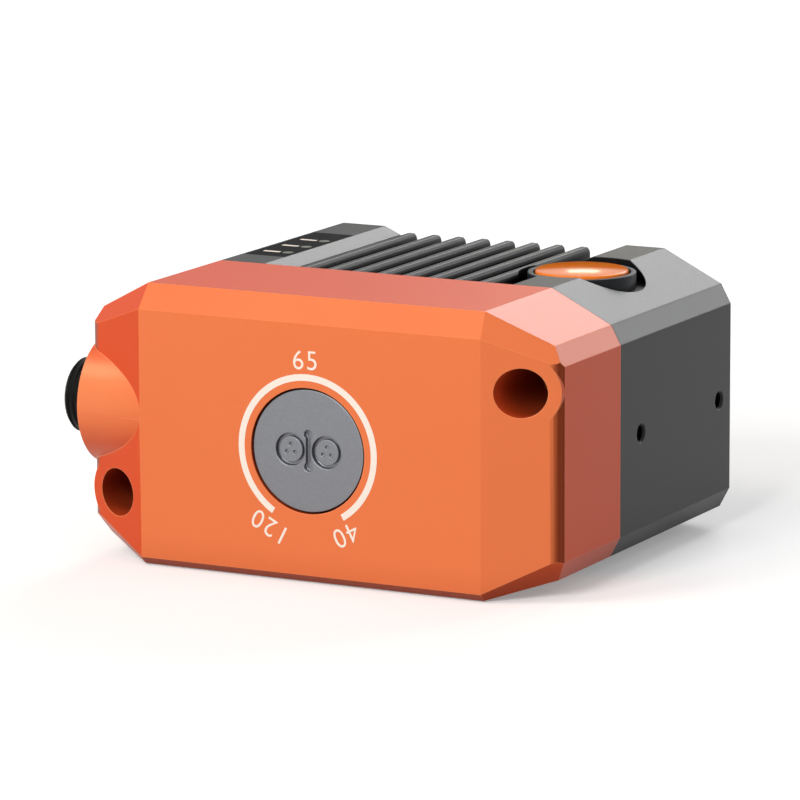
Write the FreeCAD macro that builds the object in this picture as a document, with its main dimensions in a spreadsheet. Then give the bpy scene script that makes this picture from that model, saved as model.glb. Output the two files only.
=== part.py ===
# Compact machine vision camera: a die-cast front cover and a finned rear housing clamp
# together round the optics. The camera looks down (-Z) through a flush window, the focus
# dial is on the front (-Y) face, the trigger button and the indicator panel are on top.
# Millimetres. Z is up, X runs to the right seen from the dial side, Y runs to the rear.
import FreeCAD, Part
import math
import os
import re
import Sketcher
from FreeCAD import Placement, Rotation, Vector

doc = FreeCAD.newDocument("machine_vision_camera")

# ---------------------------------------------------------------- driving dimensions
SIZES = {
    # outer form of the cover and the housing
    "body_width": 83, "body_depth": 68, "body_height": 45, "housing_depth": 42,
    "top_facet_run": 11.9, "top_facet_drop": 5.1, "edge_facet_run": 1.7, "edge_facet_drop": 3.1,
    "base_facet_run": 11.5, "base_facet_rise": 3.0, "base_edge_rise": 3.2,
    "corner_run": 9.7, "corner_back": 4.2, "corner_start": 11.5, "corner_round": 3.46,
    "corner_turn": 43.2, "corner_steps": 4,
    "front_bevel_drop": 3.9,
    "front_bevel_back": 2.6, "corner_bevel_drop": 3.6, "base_bevel_rise": 1.2,
    "base_bevel_back": 1.2, "corner_base_rise": 4.9,
    # wall thickness and the inner space
    "side_wall": 13.5, "base_wall": 5, "roof_wall": 3.3, "rear_wall": 4, "front_wall": 8,
    # mounting holes and their bosses
    "mount_inset": 5.8, "mount_upper_level": 32.8, "mount_lower_level": 10.7,
    "mount_bore": 4.5, "mount_counterbore": 7.7, "mount_counterbore_depth": 18,
    "mount_boss": 11.6,
    # screws that join the cover and the housing
    "cover_screw_inset": 6, "cover_screw_upper": 33.5, "cover_screw_lower": 11,
    "cover_screw_size": 3, "cover_screw_length": 25, "cover_screw_head": 5.5,
    "cover_screw_head_height": 3, "cover_screw_grip": 17, "screw_clearance": 0.1,
    "head_pocket_clearance": 0.45, "hex_key": 2.5, "thread_runout": 1,
    # tapped holes on the right side
    "side_hole_size": 2.5, "side_hole_mouth": 3.2, "side_hole_depth": 6,
    "side_hole_spacing": 30, "side_hole_rear_margin": 4.4, "side_hole_level": 21.5,
    # heat sink on the housing
    "fin_count": 8, "fin_pitch": 4.56, "fin_width": 2.1, "fin_height": 3.5,
    "first_fin": 16.75, "fin_floor_depth": 4.2, "strip_run": 2.9, "strip_drop": 1.3,
    "left_plate_edge": 21.7, "right_plate_edge": 22.8,
    # trigger button
    "button_offset": 25.5, "button_rear_margin": 22.6, "button_size": 15, "button_skirt": 1.2,
    "button_crown": 0.35, "button_top_wall": 1.2, "button_travel": 0.6, "button_stem": 3.6,
    "button_gap": 0.3, "bezel_wall": 0.9, "bezel_sink": 0.35, "pocket_size": 20.4,
    "pocket_depth": 3.2, "stem_clearance": 0.08, "stem_reach": 0.6,
    "button_edge": 0.4, "spring_mean": 9, "spring_wire": 0.4, "spring_turns": 2.5,
    "spring_end_gap": 0.05, "seal_outer": 6.8, "seal_thickness": 0.8, "floor_gap": 0.2,
    # indicator panel
    "panel_width": 7.6, "panel_length": 24, "panel_thickness": 0.4, "panel_front": 7,
    "panel_edge_gap": 0.1, "pipe_size": 1.8, "pipe_pitch": 6.25, "pipe_count": 3,
    "pipe_inset": 1.8, "pipe_forward": 1.5, "pipe_clearance": 0.05, "pipe_gap": 0.25,
    # focus dial, its shaft and pinion
    "dial_drop": 6.5, "dial_size": 19.4, "dial_thickness": 2, "dial_seat_gap": 0.3,
    "dial_sink": 0.3, "dial_running_gap": 0.3, "slot_length": 6.6, "slot_width": 0.9,
    "slot_end": 1.5, "slot_depth": 0.8, "dial_screw_offset": 3.5, "dial_pocket": 4.9,
    "dial_pocket_depth": 0.9, "dial_screw_head": 3.9, "dial_screw_head_height": 0.7,
    "dial_screw_size": 1.6, "driver_hole": 0.56, "driver_hole_ring": 1.56, "dial_hub": 12,
    "dial_hub_length": 1.2, "shaft_size": 4,
    "shaft_fit": 0.05, "bush_outer": 7, "bush_flange": 9.5, "bush_flange_thickness": 1,
    "ring_wire": 1.0, "ring_groove": 1.2, "clip_outer": 8, "clip_thickness": 0.6,
    "clip_gap": 0.15, "clip_mouth": 2.8,
    "pinion_teeth": 10, "gear_module": 0.3, "pinion_face": 3, "pinion_inset": 0.5,
    "pinion_bore": 1.54, "tooth_tip": 0.255, "tooth_root": 0.36, "rack_root": 0.375,
    "tooth_seat": 0.05, "gear_backlash": 0.1,
    # optics
    "optic_forward": 1, "barrel_size": 14, "barrel_length": 10, "barrel_reach": 12,
    "barrel_edge": 0.4, "lens_shoulder": 2,
    "barrel_bore": 11, "carrier_outer": 18, "carrier_height": 5, "carrier_reach": 9,
    "barrel_fit": 0.05, "rod_spacing": 23.4, "rod_size": 3, "rod_fit": 0.05, "ear_size": 6.4,
    "rack_width": 2.4, "rack_above": 10.2, "rack_back": 2, "lens_edge": 1.6, "lens_sag": 1.2,
    "retainer_height": 1.2, "retainer_bore": 8.6, "lens_gap": 0.05,
    "frame_screw_gap": 1.1, "frame_wall": 3, "frame_drop": 5.5, "frame_roof_thickness": 2,
    "frame_front_margin": 3, "frame_front_wall": 2, "frame_rear_margin": 12,
    "light_hole": 13, "rack_slot_width": 4.4, "rack_slot_depth": 3,
    # boards and what they carry
    "board_thickness": 1.2, "board_margin": 0.6, "led_board_margin": 1.3, "led_inset": 2.5,
    "led_board_side": 6.5,
    "led_size": 3, "led_height": 1.1, "led_hole_margin": 3, "led_count": 8,
    "sensor_board_width": 30, "sensor_board_depth": 22, "sensor_size": 10,
    "sensor_height": 1.3, "sensor_spacer": 1.9, "spacer_size": 4, "spacer_shift": 1,
    "sensor_glass": 0.4, "glass_margin": 0.5, "main_board_drop": 4.5, "main_board_gap": 1,
    "chip_size": 14, "chip_height": 1.4, "memory_width": 8, "memory_length": 10,
    "memory_height": 1, "memory_offset": 11.2, "memory_pitch": 13, "post_size": 4.5,
    "post_inset": 3, "board_screw_length": 3,
    "switch_size": 3.2, "switch_height": 1.6, "plunger_size": 1.6, "plunger_height": 0.4,
    "indicator_size": 1.6, "indicator_height": 1.2, "link_width": 20, "link_depth": 4,
    "strap_thickness": 0.3, "strap_width": 8, "strap_inset": 4.5,
    # window
    "light_opening_width": 35, "seal_land": 3, "window_side": 6.3, "window_ledge": 0.8,
    "window_margin": 2.7, "window_thickness": 1.4, "window_gasket": 0.5,
    "window_frame_thickness": 1.2, "window_play": 0.15, "window_screw_inset": 3.3,
    "window_screw_size": 2, "window_screw_head": 3.8, "window_screw_length": 4,
    "window_screw_sink": 1.0, "window_key": 1.46, "window_key_depth": 0.7,
    "led_screw_inset": 2, "led_screw_spacing": 10, "led_screw_depth": 1.8,
    "small_head_height": 1.2,
    # seal between cover and housing
    "gasket_margin": 0.9, "gasket_width": 1.5, "gasket_depth": 1,
    # round connector on the left side
    "connector_back": 10.5, "connector_drop": 8.7, "connector_boss": 21,
    "connector_size": 12, "connector_reach": 5.3, "connector_fit": 0.1,
    "connector_body": 12.6, "connector_edge": 0.5, "thread_relief": 0.5,
    "thread_relief_size": 11.2,
    "socket_size": 8.8, "socket_depth": 8, "shoulder_size": 16, "shoulder_thickness": 2,
    "connector_seal_wire": 1, "connector_seal_mean": 13.4, "connector_room": 17.2,
    "connector_room_length": 10, "insert_back": 3, "pin_size": 0.8,
    "pin_ring": 5.5, "pin_count": 8, "pin_recess": 1.5, "pin_tail": 3.5,
    "port_board_height": 15, "port_board_width": 16, "port_board_front": 3.7,
    "port_plug_depth": 4, "port_plug_height": 4, "port_plug_inset": 1, "seat_play": 0.02,
}

# Sizes that follow from the ones above.
DERIVED = {
    "cover_depth": "body_depth - housing_depth",
    "roof_level": "body_height - fin_floor_depth - roof_wall",
    "stem_end_level": "roof_level - stem_reach",
    "main_board_level": "roof_level - main_board_drop",
    "frame_roof": "main_board_level - frame_drop",
    "dial_level": "frame_roof - dial_drop",
    "barrel_low": "dial_level - barrel_reach",
    "carrier_low": "dial_level - carrier_reach",
    "connector_level": "main_board_level - connector_drop",
    "main_board_depth": "housing_depth - rear_wall - 2 * main_board_gap",
    "main_board_width": "body_width - 2 * side_wall - 2 * board_margin",
    "window_width": "light_opening_width + 2 * seal_land",
    "window_frame_width": "window_width + 2 * window_side",
    "window_frame_depth": "housing_depth - 2 * window_margin",
    "window_depth": "window_frame_depth - 2 * window_ledge",
    "light_opening_depth": "window_depth - 2 * seal_land",
    "led_ring": "min(light_opening_width; light_opening_depth) - 2 * led_inset",
    "led_board_hole": "led_ring - 2 * led_hole_margin",
    "led_board_width": "light_opening_width + 2 * led_board_side",
    "led_board_depth": "window_frame_depth - 2 * led_board_margin",
    "led_screw_reach": "led_board_width / 2 - led_screw_inset",
    "frame_width": "2 * led_screw_reach - window_screw_head - 2 * frame_screw_gap",
}

sheet = doc.addObject("Spreadsheet::Sheet", "Dims")
for row, (alias, value) in enumerate([*SIZES.items(), *DERIVED.items()], start=1):
    sheet.set(f"A{row}", alias)
    sheet.set(f"B{row}", f"={value}" if alias in DERIVED else str(value))
    sheet.setAlias(f"B{row}", alias)
doc.recompute()


# ---------------------------------------------------------------- building tools
def formula(text):
    """Point every size named in a formula at its cell of the sheet."""
    def cell(word):
        known = word.group(0) in SIZES or word.group(0) in DERIVED
        return "Dims." + word.group(0) if known else word.group(0)
    return re.sub(r"[a-z]+(?:_[a-z]+)+", cell, str(text))


def size(alias):
    """The value of one cell, for shapes that are worked out in code."""
    return float(sheet.get(alias))


def bind(thing, **formulas):
    """Tie properties of an object to formulas of the sheet."""
    for name, text in formulas.items():
        thing.setExpression(name, formula(text))
    return thing


def locate(thing, x, y, z, turn=None):
    """Put an object at a place given by three formulas, turned by a fixed rotation."""
    if turn is not None:
        thing.Placement = Placement(Vector(), turn)
    thing.setExpression(".Placement.Base.x", formula(x))
    thing.setExpression(".Placement.Base.y", formula(y))
    thing.setExpression(".Placement.Base.z", formula(z))
    return thing


ALONG_Z = Rotation()
ALONG_X = Rotation(Vector(0, 1, 0), 90)
ALONG_Y = Rotation(Vector(1, 0, 0), -90)
LEFTWARDS = Rotation(Vector(0, 1, 0), -90)


def cylinder(name, radius, height, x, y, z, turn=ALONG_Z):
    return locate(bind(doc.addObject("Part::Cylinder", name), Radius=radius, Height=height),
                  x, y, z, turn)


def box(name, x, y, z, wide, deep, high):
    """A block centred on x and y that stands on level z."""
    block = bind(doc.addObject("Part::Box", name), Length=wide, Width=deep, Height=high)
    return locate(block, f"{x} - ({wide}) / 2", f"{y} - ({deep}) / 2", z)


def torus(name, ring, wire, x, y, z, turn=ALONG_Z):
    return locate(bind(doc.addObject("Part::Torus", name), Radius1=ring, Radius2=wire),
                  x, y, z, turn)


def fuse(name, pieces):
    joined = doc.addObject("Part::MultiFuse", name)
    joined.Shapes = pieces
    joined.Refine = True
    return joined


def cut(name, base, tool):
    result = doc.addObject("Part::Cut", name)
    result.Base = base
    result.Tool = tool
    result.Refine = True
    return result


def tube(name, outer, inner, height, x, y, z, turn=ALONG_Z):
    """A sleeve from its outer and inner radius."""
    wall = cylinder(name + "_wall", outer, height, x, y, z, turn)
    hollow = cylinder(name + "_hollow", inner, height, x, y, z, turn)
    return cut(name, wall, hollow)


def group(name, solids):
    """Separate solids of one kind, kept together as one node."""
    compound = doc.addObject("Part::Compound", name)
    compound.Links = solids
    return compound


def body_sketch(body, plane, name, offset="0"):
    """A sketch on one of the body's own origin planes, moved along its normal."""
    drawing = body.newObject("Sketcher::SketchObject", name)
    support = next(o for o in body.Origin.OriginFeatures if o.Role == plane)
    drawing.AttachmentSupport = [(support, "")]
    drawing.MapMode = "FlatFace"
    drawing.setExpression(".AttachmentOffset.Base.z", formula(offset))
    return drawing


GUESS = 10     # where the lines of a sketch start, before its constraints place them


def outline(drawing, corners):
    """A closed run of straight lines whose corners stand at pairs of formulas."""
    count = len(corners)
    start = drawing.GeometryCount
    around = [Vector(GUESS * math.cos(math.tau * i / count),
                     GUESS * math.sin(math.tau * i / count), 0) for i in range(count)]
    for i in range(count):
        drawing.addGeometry(Part.LineSegment(around[i], around[(i + 1) % count]), False)
    for i in range(count):
        following = start + (i + 1) % count
        drawing.addConstraint(Sketcher.Constraint("Coincident", start + i, 2, following, 1))
    for i, (across, up) in enumerate(corners):
        for kind, text, value in (("DistanceX", across, around[i].x),
                                  ("DistanceY", up, around[i].y)):
            index = drawing.addConstraint(
                Sketcher.Constraint(kind, -1, 1, start + i, 1, value))
            drawing.setExpression(f"Constraints[{index}]", formula(text))
    return drawing


def circle(drawing, radius, across, up):
    """A circle whose radius and centre are formulas."""
    index = drawing.addGeometry(Part.Circle(Vector(1, 1, 0), Vector(0, 0, 1), 1), False)
    for constraint, text in (
            (Sketcher.Constraint("DistanceX", -1, 1, index, 3, 1), across),
            (Sketcher.Constraint("DistanceY", -1, 1, index, 3, 1), up),
            (Sketcher.Constraint("Radius", index, 1), radius)):
        number = drawing.addConstraint(constraint)
        drawing.setExpression(f"Constraints[{number}]", formula(text))
    return drawing


def rectangle(drawing, left, low, right, high):
    return outline(drawing, [(left, low), (right, low), (right, high), (left, high)])


def pad(body, drawing, length, backwards=False):
    feature = body.newObject("PartDesign::Pad", drawing.Name + "_pad")
    feature.Profile = drawing
    feature.setExpression("Length", formula(length))
    feature.Reversed = backwards
    return feature


def pocket(body, drawing, length, backwards=False):
    feature = body.newObject("PartDesign::Pocket", drawing.Name + "_pocket")
    feature.Profile = drawing
    feature.setExpression("Length", formula(length))
    feature.Reversed = backwards
    return feature


def pocket_through(body, drawing):
    """A pocket that runs through everything on both sides of its sketch."""
    feature = body.newObject("PartDesign::Pocket", drawing.Name + "_pocket")
    feature.Profile = drawing
    feature.Type = "ThroughAll"
    feature.Midplane = True
    return feature


def revolve(body, drawing, axis):
    feature = body.newObject("PartDesign::Revolution", drawing.Name + "_turned")
    feature.Profile = drawing
    feature.ReferenceAxis = (drawing, [axis])
    feature.Angle = 360
    return feature


NODES = []


def node(thing, label):
    """Name a finished sub-part; its label is the name of its file."""
    thing.Label = label
    NODES.append(thing)
    return thing


# ---------------------------------------------------------------- shared places
HALF_WIDTH = "body_width / 2"
FRONT = "(0 - body_depth / 2)"
REAR = "body_depth / 2"
COVER_REAR = "(cover_depth - body_depth / 2)"
INNER_HALF = "(body_width / 2 - side_wall)"
OPTIC_Y = "(body_depth / 2 - housing_depth / 2 - optic_forward)"
BUTTON_Y = "(body_depth / 2 - button_rear_margin)"
MOUNT_X = "(body_width / 2 - mount_inset)"
SCREW_X = "(body_width / 2 - cover_screw_inset)"
CONNECTOR_Y = "(connector_back - body_depth / 2)"
POCKET_FLOOR = "(body_height - pocket_depth)"
CUTTER = 200
BEYOND = "5"
HOLE_BEYOND = "body_height"


def side_profile():
    """Corners of the outer section on the right, from the base up to the top."""
    return [
        (f"{HALF_WIDTH} - base_facet_run", "0"),
        (f"{HALF_WIDTH} - edge_facet_run", "base_facet_rise"),
        (HALF_WIDTH, "base_facet_rise + base_edge_rise"),
        (HALF_WIDTH, "body_height - top_facet_drop - edge_facet_drop"),
        (f"{HALF_WIDTH} - edge_facet_run", "body_height - top_facet_drop"),
        (f"{HALF_WIDTH} - top_facet_run", "body_height")]


def mirrored(corners):
    return [(f"0 - ({across})", up) for across, up in reversed(corners)]


def knife(name, corner, normal):
    """A large block whose base face lies on a plane, on the side the normal points to."""
    block = doc.addObject("Part::Box", name)
    block.Length = CUTTER
    block.Width = CUTTER
    block.Height = CUTTER
    turn = Rotation(Vector(0, 0, 1), normal)
    block.Placement = Placement(corner - turn.multVec(Vector(CUTTER / 2, CUTTER / 2, 0)), turn)
    return block


# ---------------------------------------------------------------- front cover
# Die-cast cover: faceted like the housing, with bevelled front edges, a boss round each
# mounting hole, a round boss for the connector and a stepped seat for the focus dial.
def front_cover():
    body = doc.addObject("PartDesign::Body", "cover_body")
    section = body_sketch(body, "XZ_Plane", "cover_section", "body_depth / 2")
    outline(section, side_profile() + mirrored(side_profile()))
    pad(body, section, "cover_depth", True)
    cavity = body_sketch(body, "XZ_Plane", "cover_cavity", f"0 - {COVER_REAR}")
    rectangle(cavity, f"0 - {INNER_HALF}", "base_wall", INNER_HALF, "roof_level")
    pocket(body, cavity, "cover_depth - front_wall", True)
    top_edge = body_sketch(body, "YZ_Plane", "cover_top_bevel")
    outline(top_edge, [(FRONT, "body_height - front_bevel_drop"),
                       (f"{FRONT} + front_bevel_back", "body_height"),
                       (f"{FRONT} + front_bevel_back", f"body_height + {BEYOND}"),
                       (f"{FRONT} - {BEYOND}", f"body_height + {BEYOND}"),
                       (f"{FRONT} - {BEYOND}", "body_height - front_bevel_drop")])
    pocket_through(body, top_edge)
    base_edge = body_sketch(body, "YZ_Plane", "cover_base_bevel")
    outline(base_edge, [(FRONT, "base_bevel_rise"),
                        (f"{FRONT} - {BEYOND}", "base_bevel_rise"),
                        (f"{FRONT} - {BEYOND}", f"0 - {BEYOND}"),
                        (f"{FRONT} + base_bevel_back", f"0 - {BEYOND}"),
                        (f"{FRONT} + base_bevel_back", "0")])
    pocket_through(body, base_edge)

    half = size("body_width") / 2
    front = -size("body_depth") / 2
    height = size("body_height")
    slope = size("corner_back") / size("corner_run")
    start_x = half - size("corner_start")
    end_x = start_x + size("corner_run")
    end_y = front + size("corner_back")
    outward = Vector(slope, -1, 0).normalize()
    round_centre = Vector(end_x, end_y, 0) - outward * size("corner_round")
    knives = []
    edge_knives = []
    for side, hand in (("right", 1), ("left", -1)):
        knives.append(knife(f"corner_{side}", Vector(hand * start_x, front, height / 2),
                            Vector(hand * slope, -1, 0)))
        for step in range(int(size("corner_steps"))):
            turned = size("corner_turn") * (step + 0.5) / size("corner_steps")
            facing = Rotation(Vector(0, 0, 1), turned).multVec(outward)
            touch = round_centre + facing * size("corner_round")
            edge_knives.append(knife(f"edge_{side}_{step + 1}",
                                     Vector(hand * touch.x, touch.y, height / 2),
                                     Vector(hand * facing.x, facing.y, 0)))
        inner = Vector(hand * start_x, front, height - size("front_bevel_drop"))
        outer = Vector(hand * end_x, end_y,
                       height - size("front_bevel_drop") - size("corner_bevel_drop"))
        back = Vector(hand * (half - size("top_facet_run")),
                      front + size("front_bevel_back"), height)
        normal = (outer - inner).cross(back - inner)
        knives.append(knife(f"bevel_{side}", inner, normal if normal.z > 0 else -normal))
        inner = Vector(hand * start_x, front, size("base_bevel_rise"))
        outer = Vector(hand * end_x, end_y, size("base_bevel_rise") + size("corner_base_rise"))
        back = Vector(hand * (half - size("base_facet_run")),
                      front + size("base_bevel_back"), 0)
        normal = (outer - inner).cross(back - inner)
        knives.append(knife(f"base_bevel_{side}", inner, normal if normal.z < 0 else -normal))

    holders = []
    for side, x, z in (("right", MOUNT_X, "mount_upper_level"),
                       ("left", f"0 - {MOUNT_X}", "mount_lower_level")):
        holders.append(cylinder(f"mount_boss_{side}", "mount_boss / 2", "cover_depth / 2",
                                x, FRONT, z, ALONG_Y))
    edges = cut("edge_cutters", fuse("edge_knives", edge_knives),
                fuse("mount_bosses", holders))
    faceted = cut("cover_faceted", body, fuse("cover_knives", knives + [edges]))
    boss = cylinder("connector_boss_solid", "connector_boss / 2", "side_wall",
                    f"0 - {HALF_WIDTH}", CONNECTOR_Y, "connector_level", ALONG_X)
    hollow = box("boss_cavity", "0", f"{COVER_REAR} - (cover_depth - front_wall) / 2",
                 "base_wall", f"2 * {INNER_HALF}", "cover_depth - front_wall",
                 "roof_level - base_wall")
    rear_trim = box("boss_rear_trim", f"0 - {HALF_WIDTH}", f"{COVER_REAR} + connector_boss / 2",
                    "0", "2 * side_wall", "connector_boss", "body_height")
    round_boss = cut("connector_boss_form", boss, rear_trim)
    with_boss = cut("cover_with_boss", fuse("cover_and_boss", [faceted, round_boss]), hollow)

    holes = [
        cylinder("dial_seat", "dial_size / 2 + dial_seat_gap",
                 "dial_sink + dial_thickness + dial_running_gap",
                 "0", FRONT, "dial_level", ALONG_Y),
        cylinder("hub_seat", "dial_hub / 2 + dial_seat_gap",
                 "dial_sink + dial_thickness + dial_hub_length + dial_running_gap",
                 "0", FRONT, "dial_level", ALONG_Y),
        cylinder("bush_seat", "bush_outer / 2 + seat_play", "cover_depth / 2", "0", FRONT,
                 "dial_level", ALONG_Y),
        cylinder("connector_room_space", "connector_room / 2", "connector_room_length",
                 f"0 - {INNER_HALF}", CONNECTOR_Y, "connector_level", ALONG_X),
        cylinder("connector_bore", "connector_body / 2 + connector_fit", "side_wall",
                 f"0 - {HALF_WIDTH}", CONNECTOR_Y, "connector_level", ALONG_X)]
    for side, x, z in (("upper", MOUNT_X, "mount_upper_level"),
                       ("lower", f"0 - {MOUNT_X}", "mount_lower_level")):
        holes.append(cylinder(f"mount_head_{side}", "mount_counterbore / 2",
                              "mount_counterbore_depth", x, FRONT, z, ALONG_Y))
        holes.append(cylinder(f"mount_bore_{side}", "mount_bore / 2", "cover_depth",
                              x, FRONT, z, ALONG_Y))
    for side, x, z in (("upper", f"0 - {SCREW_X}", "cover_screw_upper"),
                       ("lower", SCREW_X, "cover_screw_lower")):
        depth = "cover_screw_length - cover_screw_grip + thread_runout"
        holes.append(cylinder(f"cover_thread_{side}", "cover_screw_size / 2 + screw_clearance / 2",
                              depth, x, f"{COVER_REAR} - ({depth})", z, ALONG_Y))
    return node(cut("cover", with_boss, fuse("cover_holes", holes)), "front_cover")


# ---------------------------------------------------------------- main housing
# Finned aluminium housing, closed at the rear and below, where the window lets in light.
FIN_FLOOR = "(body_height - fin_floor_depth)"
PANEL_X = "(0 - left_plate_edge - panel_edge_gap - panel_width / 2)"
PANEL_Y = f"({COVER_REAR} + panel_front + panel_length / 2)"
PIPE_X = "(0 - left_plate_edge - pipe_inset)"


def pipe_y(index):
    return f"({PANEL_Y} - pipe_forward + ({index} - (pipe_count - 1) / 2) * pipe_pitch)"


def fin_profile():
    """The top of the section from right to left: plate, sloped strip, fins, strip, plate."""
    strip_low = "body_height - strip_drop"
    corners = [("right_plate_edge", "body_height"),
               ("right_plate_edge - strip_run", strip_low),
               ("right_plate_edge - strip_run", FIN_FLOOR)]
    for index in reversed(range(int(size("fin_count")))):
        middle = f"{index} * fin_pitch - first_fin"
        top = f"{FIN_FLOOR} + fin_height"
        round_top = [(f"fin_width / 2 * cos({angle})",
                      f"{top} - fin_width / 2 + fin_width / 2 * sin({angle})")
                     for angle in (0, 30, 60)]
        corners.append((f"{middle} + fin_width / 2", FIN_FLOOR))
        corners += [(f"{middle} + {across}", up) for across, up in round_top]
        corners += [(f"{middle} - {across}", up) for across, up in reversed(round_top)]
        corners.append((f"{middle} - fin_width / 2", FIN_FLOOR))
    return corners + [("strip_run - left_plate_edge", FIN_FLOOR),
                      ("strip_run - left_plate_edge", strip_low),
                      ("0 - left_plate_edge", "body_height")]


def main_housing():
    body = doc.addObject("PartDesign::Body", "housing_body")
    section = body_sketch(body, "XZ_Plane", "housing_section", f"0 - {COVER_REAR}")
    outline(section, side_profile() + fin_profile() + mirrored(side_profile()))
    pad(body, section, "housing_depth", True)
    cavity = body_sketch(body, "XZ_Plane", "housing_cavity", f"0 - {COVER_REAR}")
    rectangle(cavity, f"0 - {INNER_HALF}", "base_wall", INNER_HALF, "roof_level")
    pocket(body, cavity, "housing_depth - rear_wall")
    for name, wide, deep, depth in (
            ("frame_recess", "window_frame_width / 2 + window_play",
             "window_frame_depth / 2 + window_play", "window_frame_thickness"),
            ("window_recess", "window_width / 2 + window_play",
             "window_depth / 2 + window_play",
             "window_frame_thickness + window_thickness + window_gasket"),
            ("light_opening", "light_opening_width / 2", "light_opening_depth / 2",
             "2 * base_wall")):
        recess = body_sketch(body, "XY_Plane", name)
        rectangle(recess, f"0 - ({wide})", f"{OPTIC_Y} - ({deep})", wide,
                  f"{OPTIC_Y} + {deep}")
        pocket(body, recess, depth, True)
    groove = body_sketch(body, "XZ_Plane", "gasket_groove", f"0 - {COVER_REAR}")
    gasket_outline(groove)
    pocket(body, groove, "gasket_depth")

    holes = [
        cylinder("button_pocket", "pocket_size / 2", "2 * pocket_depth", "button_offset",
                 BUTTON_Y, POCKET_FLOOR),
        cylinder("stem_hole", "button_stem / 2 + stem_clearance", HOLE_BEYOND,
                 "button_offset", BUTTON_Y, "main_board_level"),
        box("panel_recess", PANEL_X, PANEL_Y, "body_height - panel_thickness",
            "panel_width", "panel_length", "2 * panel_thickness")]
    for index in range(int(size("pipe_count"))):
        holes.append(cylinder(f"pipe_hole_{index + 1}", "pipe_size / 2 + pipe_clearance",
                              HOLE_BEYOND, PIPE_X, pipe_y(index), "main_board_level"))
    for index, back in enumerate(("side_hole_rear_margin",
                                  "side_hole_rear_margin + side_hole_spacing"), start=1):
        y = f"{REAR} - ({back})"
        holes.append(cylinder(f"side_hole_{index}", "side_hole_size / 2", "side_hole_depth",
                              HALF_WIDTH, y, "side_hole_level", LEFTWARDS))
        mouth = doc.addObject("Part::Cone", f"side_mouth_{index}")
        bind(mouth, Radius1="side_hole_mouth / 2", Radius2="side_hole_size / 2",
             Height="(side_hole_mouth - side_hole_size) / 2")
        holes.append(locate(mouth, HALF_WIDTH, y, "side_hole_level", LEFTWARDS))
    for side, x, z in (("upper", MOUNT_X, "mount_upper_level"),
                       ("lower", f"0 - {MOUNT_X}", "mount_lower_level")):
        holes.append(cylinder(f"housing_bore_{side}", "mount_bore / 2", "housing_depth",
                              x, COVER_REAR, z, ALONG_Y))
    for side, x, z in (("upper", f"0 - {SCREW_X}", "cover_screw_upper"),
                       ("lower", SCREW_X, "cover_screw_lower")):
        holes.append(cylinder(f"screw_way_{side}", "cover_screw_size / 2 + screw_clearance",
                              "housing_depth", x, COVER_REAR, z, ALONG_Y))
        holes.append(cylinder(f"screw_pocket_{side}",
                              "cover_screw_head / 2 + head_pocket_clearance",
                              "housing_depth - cover_screw_grip",
                              x, f"{COVER_REAR} + cover_screw_grip", z, ALONG_Y))
    for index, (x, y) in enumerate(window_screw_places(), start=1):
        holes.append(cylinder(f"frame_thread_{index}",
                              "window_screw_size / 2 + screw_clearance / 2",
                              "window_screw_length", x, y, "0"))
    for index, (x, y) in enumerate(led_screw_places(), start=1):
        holes.append(cylinder(f"led_thread_{index}",
                              "window_screw_size / 2 + screw_clearance / 2",
                              "led_screw_depth", x, y, "base_wall - led_screw_depth"))
    pedestal = cylinder("button_pedestal", "button_size / 2 + button_gap + bezel_wall",
                        f"{POCKET_FLOOR} - roof_level", "button_offset", BUTTON_Y,
                        "roof_level")
    blank = fuse("housing_blank", [body, pedestal])
    return node(cut("housing", blank, fuse("housing_holes", holes)), "main_housing")


def window_screw_places():
    return [(f"0 {a} (window_frame_width / 2 - window_screw_inset)",
             f"{OPTIC_Y} {b} (window_frame_depth / 2 - window_screw_inset)")
            for a in "-+" for b in "-+"]


def led_screw_places():
    return [(f"0 {a} led_screw_reach",
             f"{OPTIC_Y} {b} led_screw_spacing / 2") for a in "-+" for b in "-+"]


def gasket_outline(drawing):
    """Inner and outer edge of the seal round the joint of cover and housing."""
    for grow in ("gasket_margin", "gasket_margin + gasket_width"):
        rectangle(drawing, f"0 - {INNER_HALF} - ({grow})", f"base_wall - ({grow})",
                  f"{INNER_HALF} + {grow}", f"roof_level + {grow}")


def cover_gasket():
    body = doc.addObject("PartDesign::Body", "gasket_body")
    ring = body_sketch(body, "XZ_Plane", "gasket_ring", f"0 - {COVER_REAR}")
    gasket_outline(ring)
    pad(body, ring, "gasket_depth", True)
    return node(body, "cover_gasket")


# Two long socket screws pass up deep pockets from the rear and pull the cover on.
def socket_screw(name, x, y, z):
    shank = cylinder(name + "_shank", "cover_screw_size / 2", "cover_screw_length", x,
                     f"{y} - cover_screw_length", z, ALONG_Y)
    head = cylinder(name + "_head", "cover_screw_head / 2", "cover_screw_head_height",
                    x, y, z, ALONG_Y)
    key = doc.addObject("Part::Prism", name + "_key")
    key.Polygon = 6
    bind(key, Circumradius="hex_key / sqrt(3)", Height="cover_screw_head_height")
    locate(key, x, f"{y} + cover_screw_head_height / 2", z, ALONG_Y)
    return cut(name, fuse(name + "_blank", [shank, head]), key)


def cover_screws():
    y = f"({COVER_REAR} + cover_screw_grip)"
    return node(group("cover_screw_pair", [
        socket_screw("cover_screw_upper_left", f"0 - {SCREW_X}", y, "cover_screw_upper"),
        socket_screw("cover_screw_lower_right", SCREW_X, y, "cover_screw_lower")]),
        "cover_screws")


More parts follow.
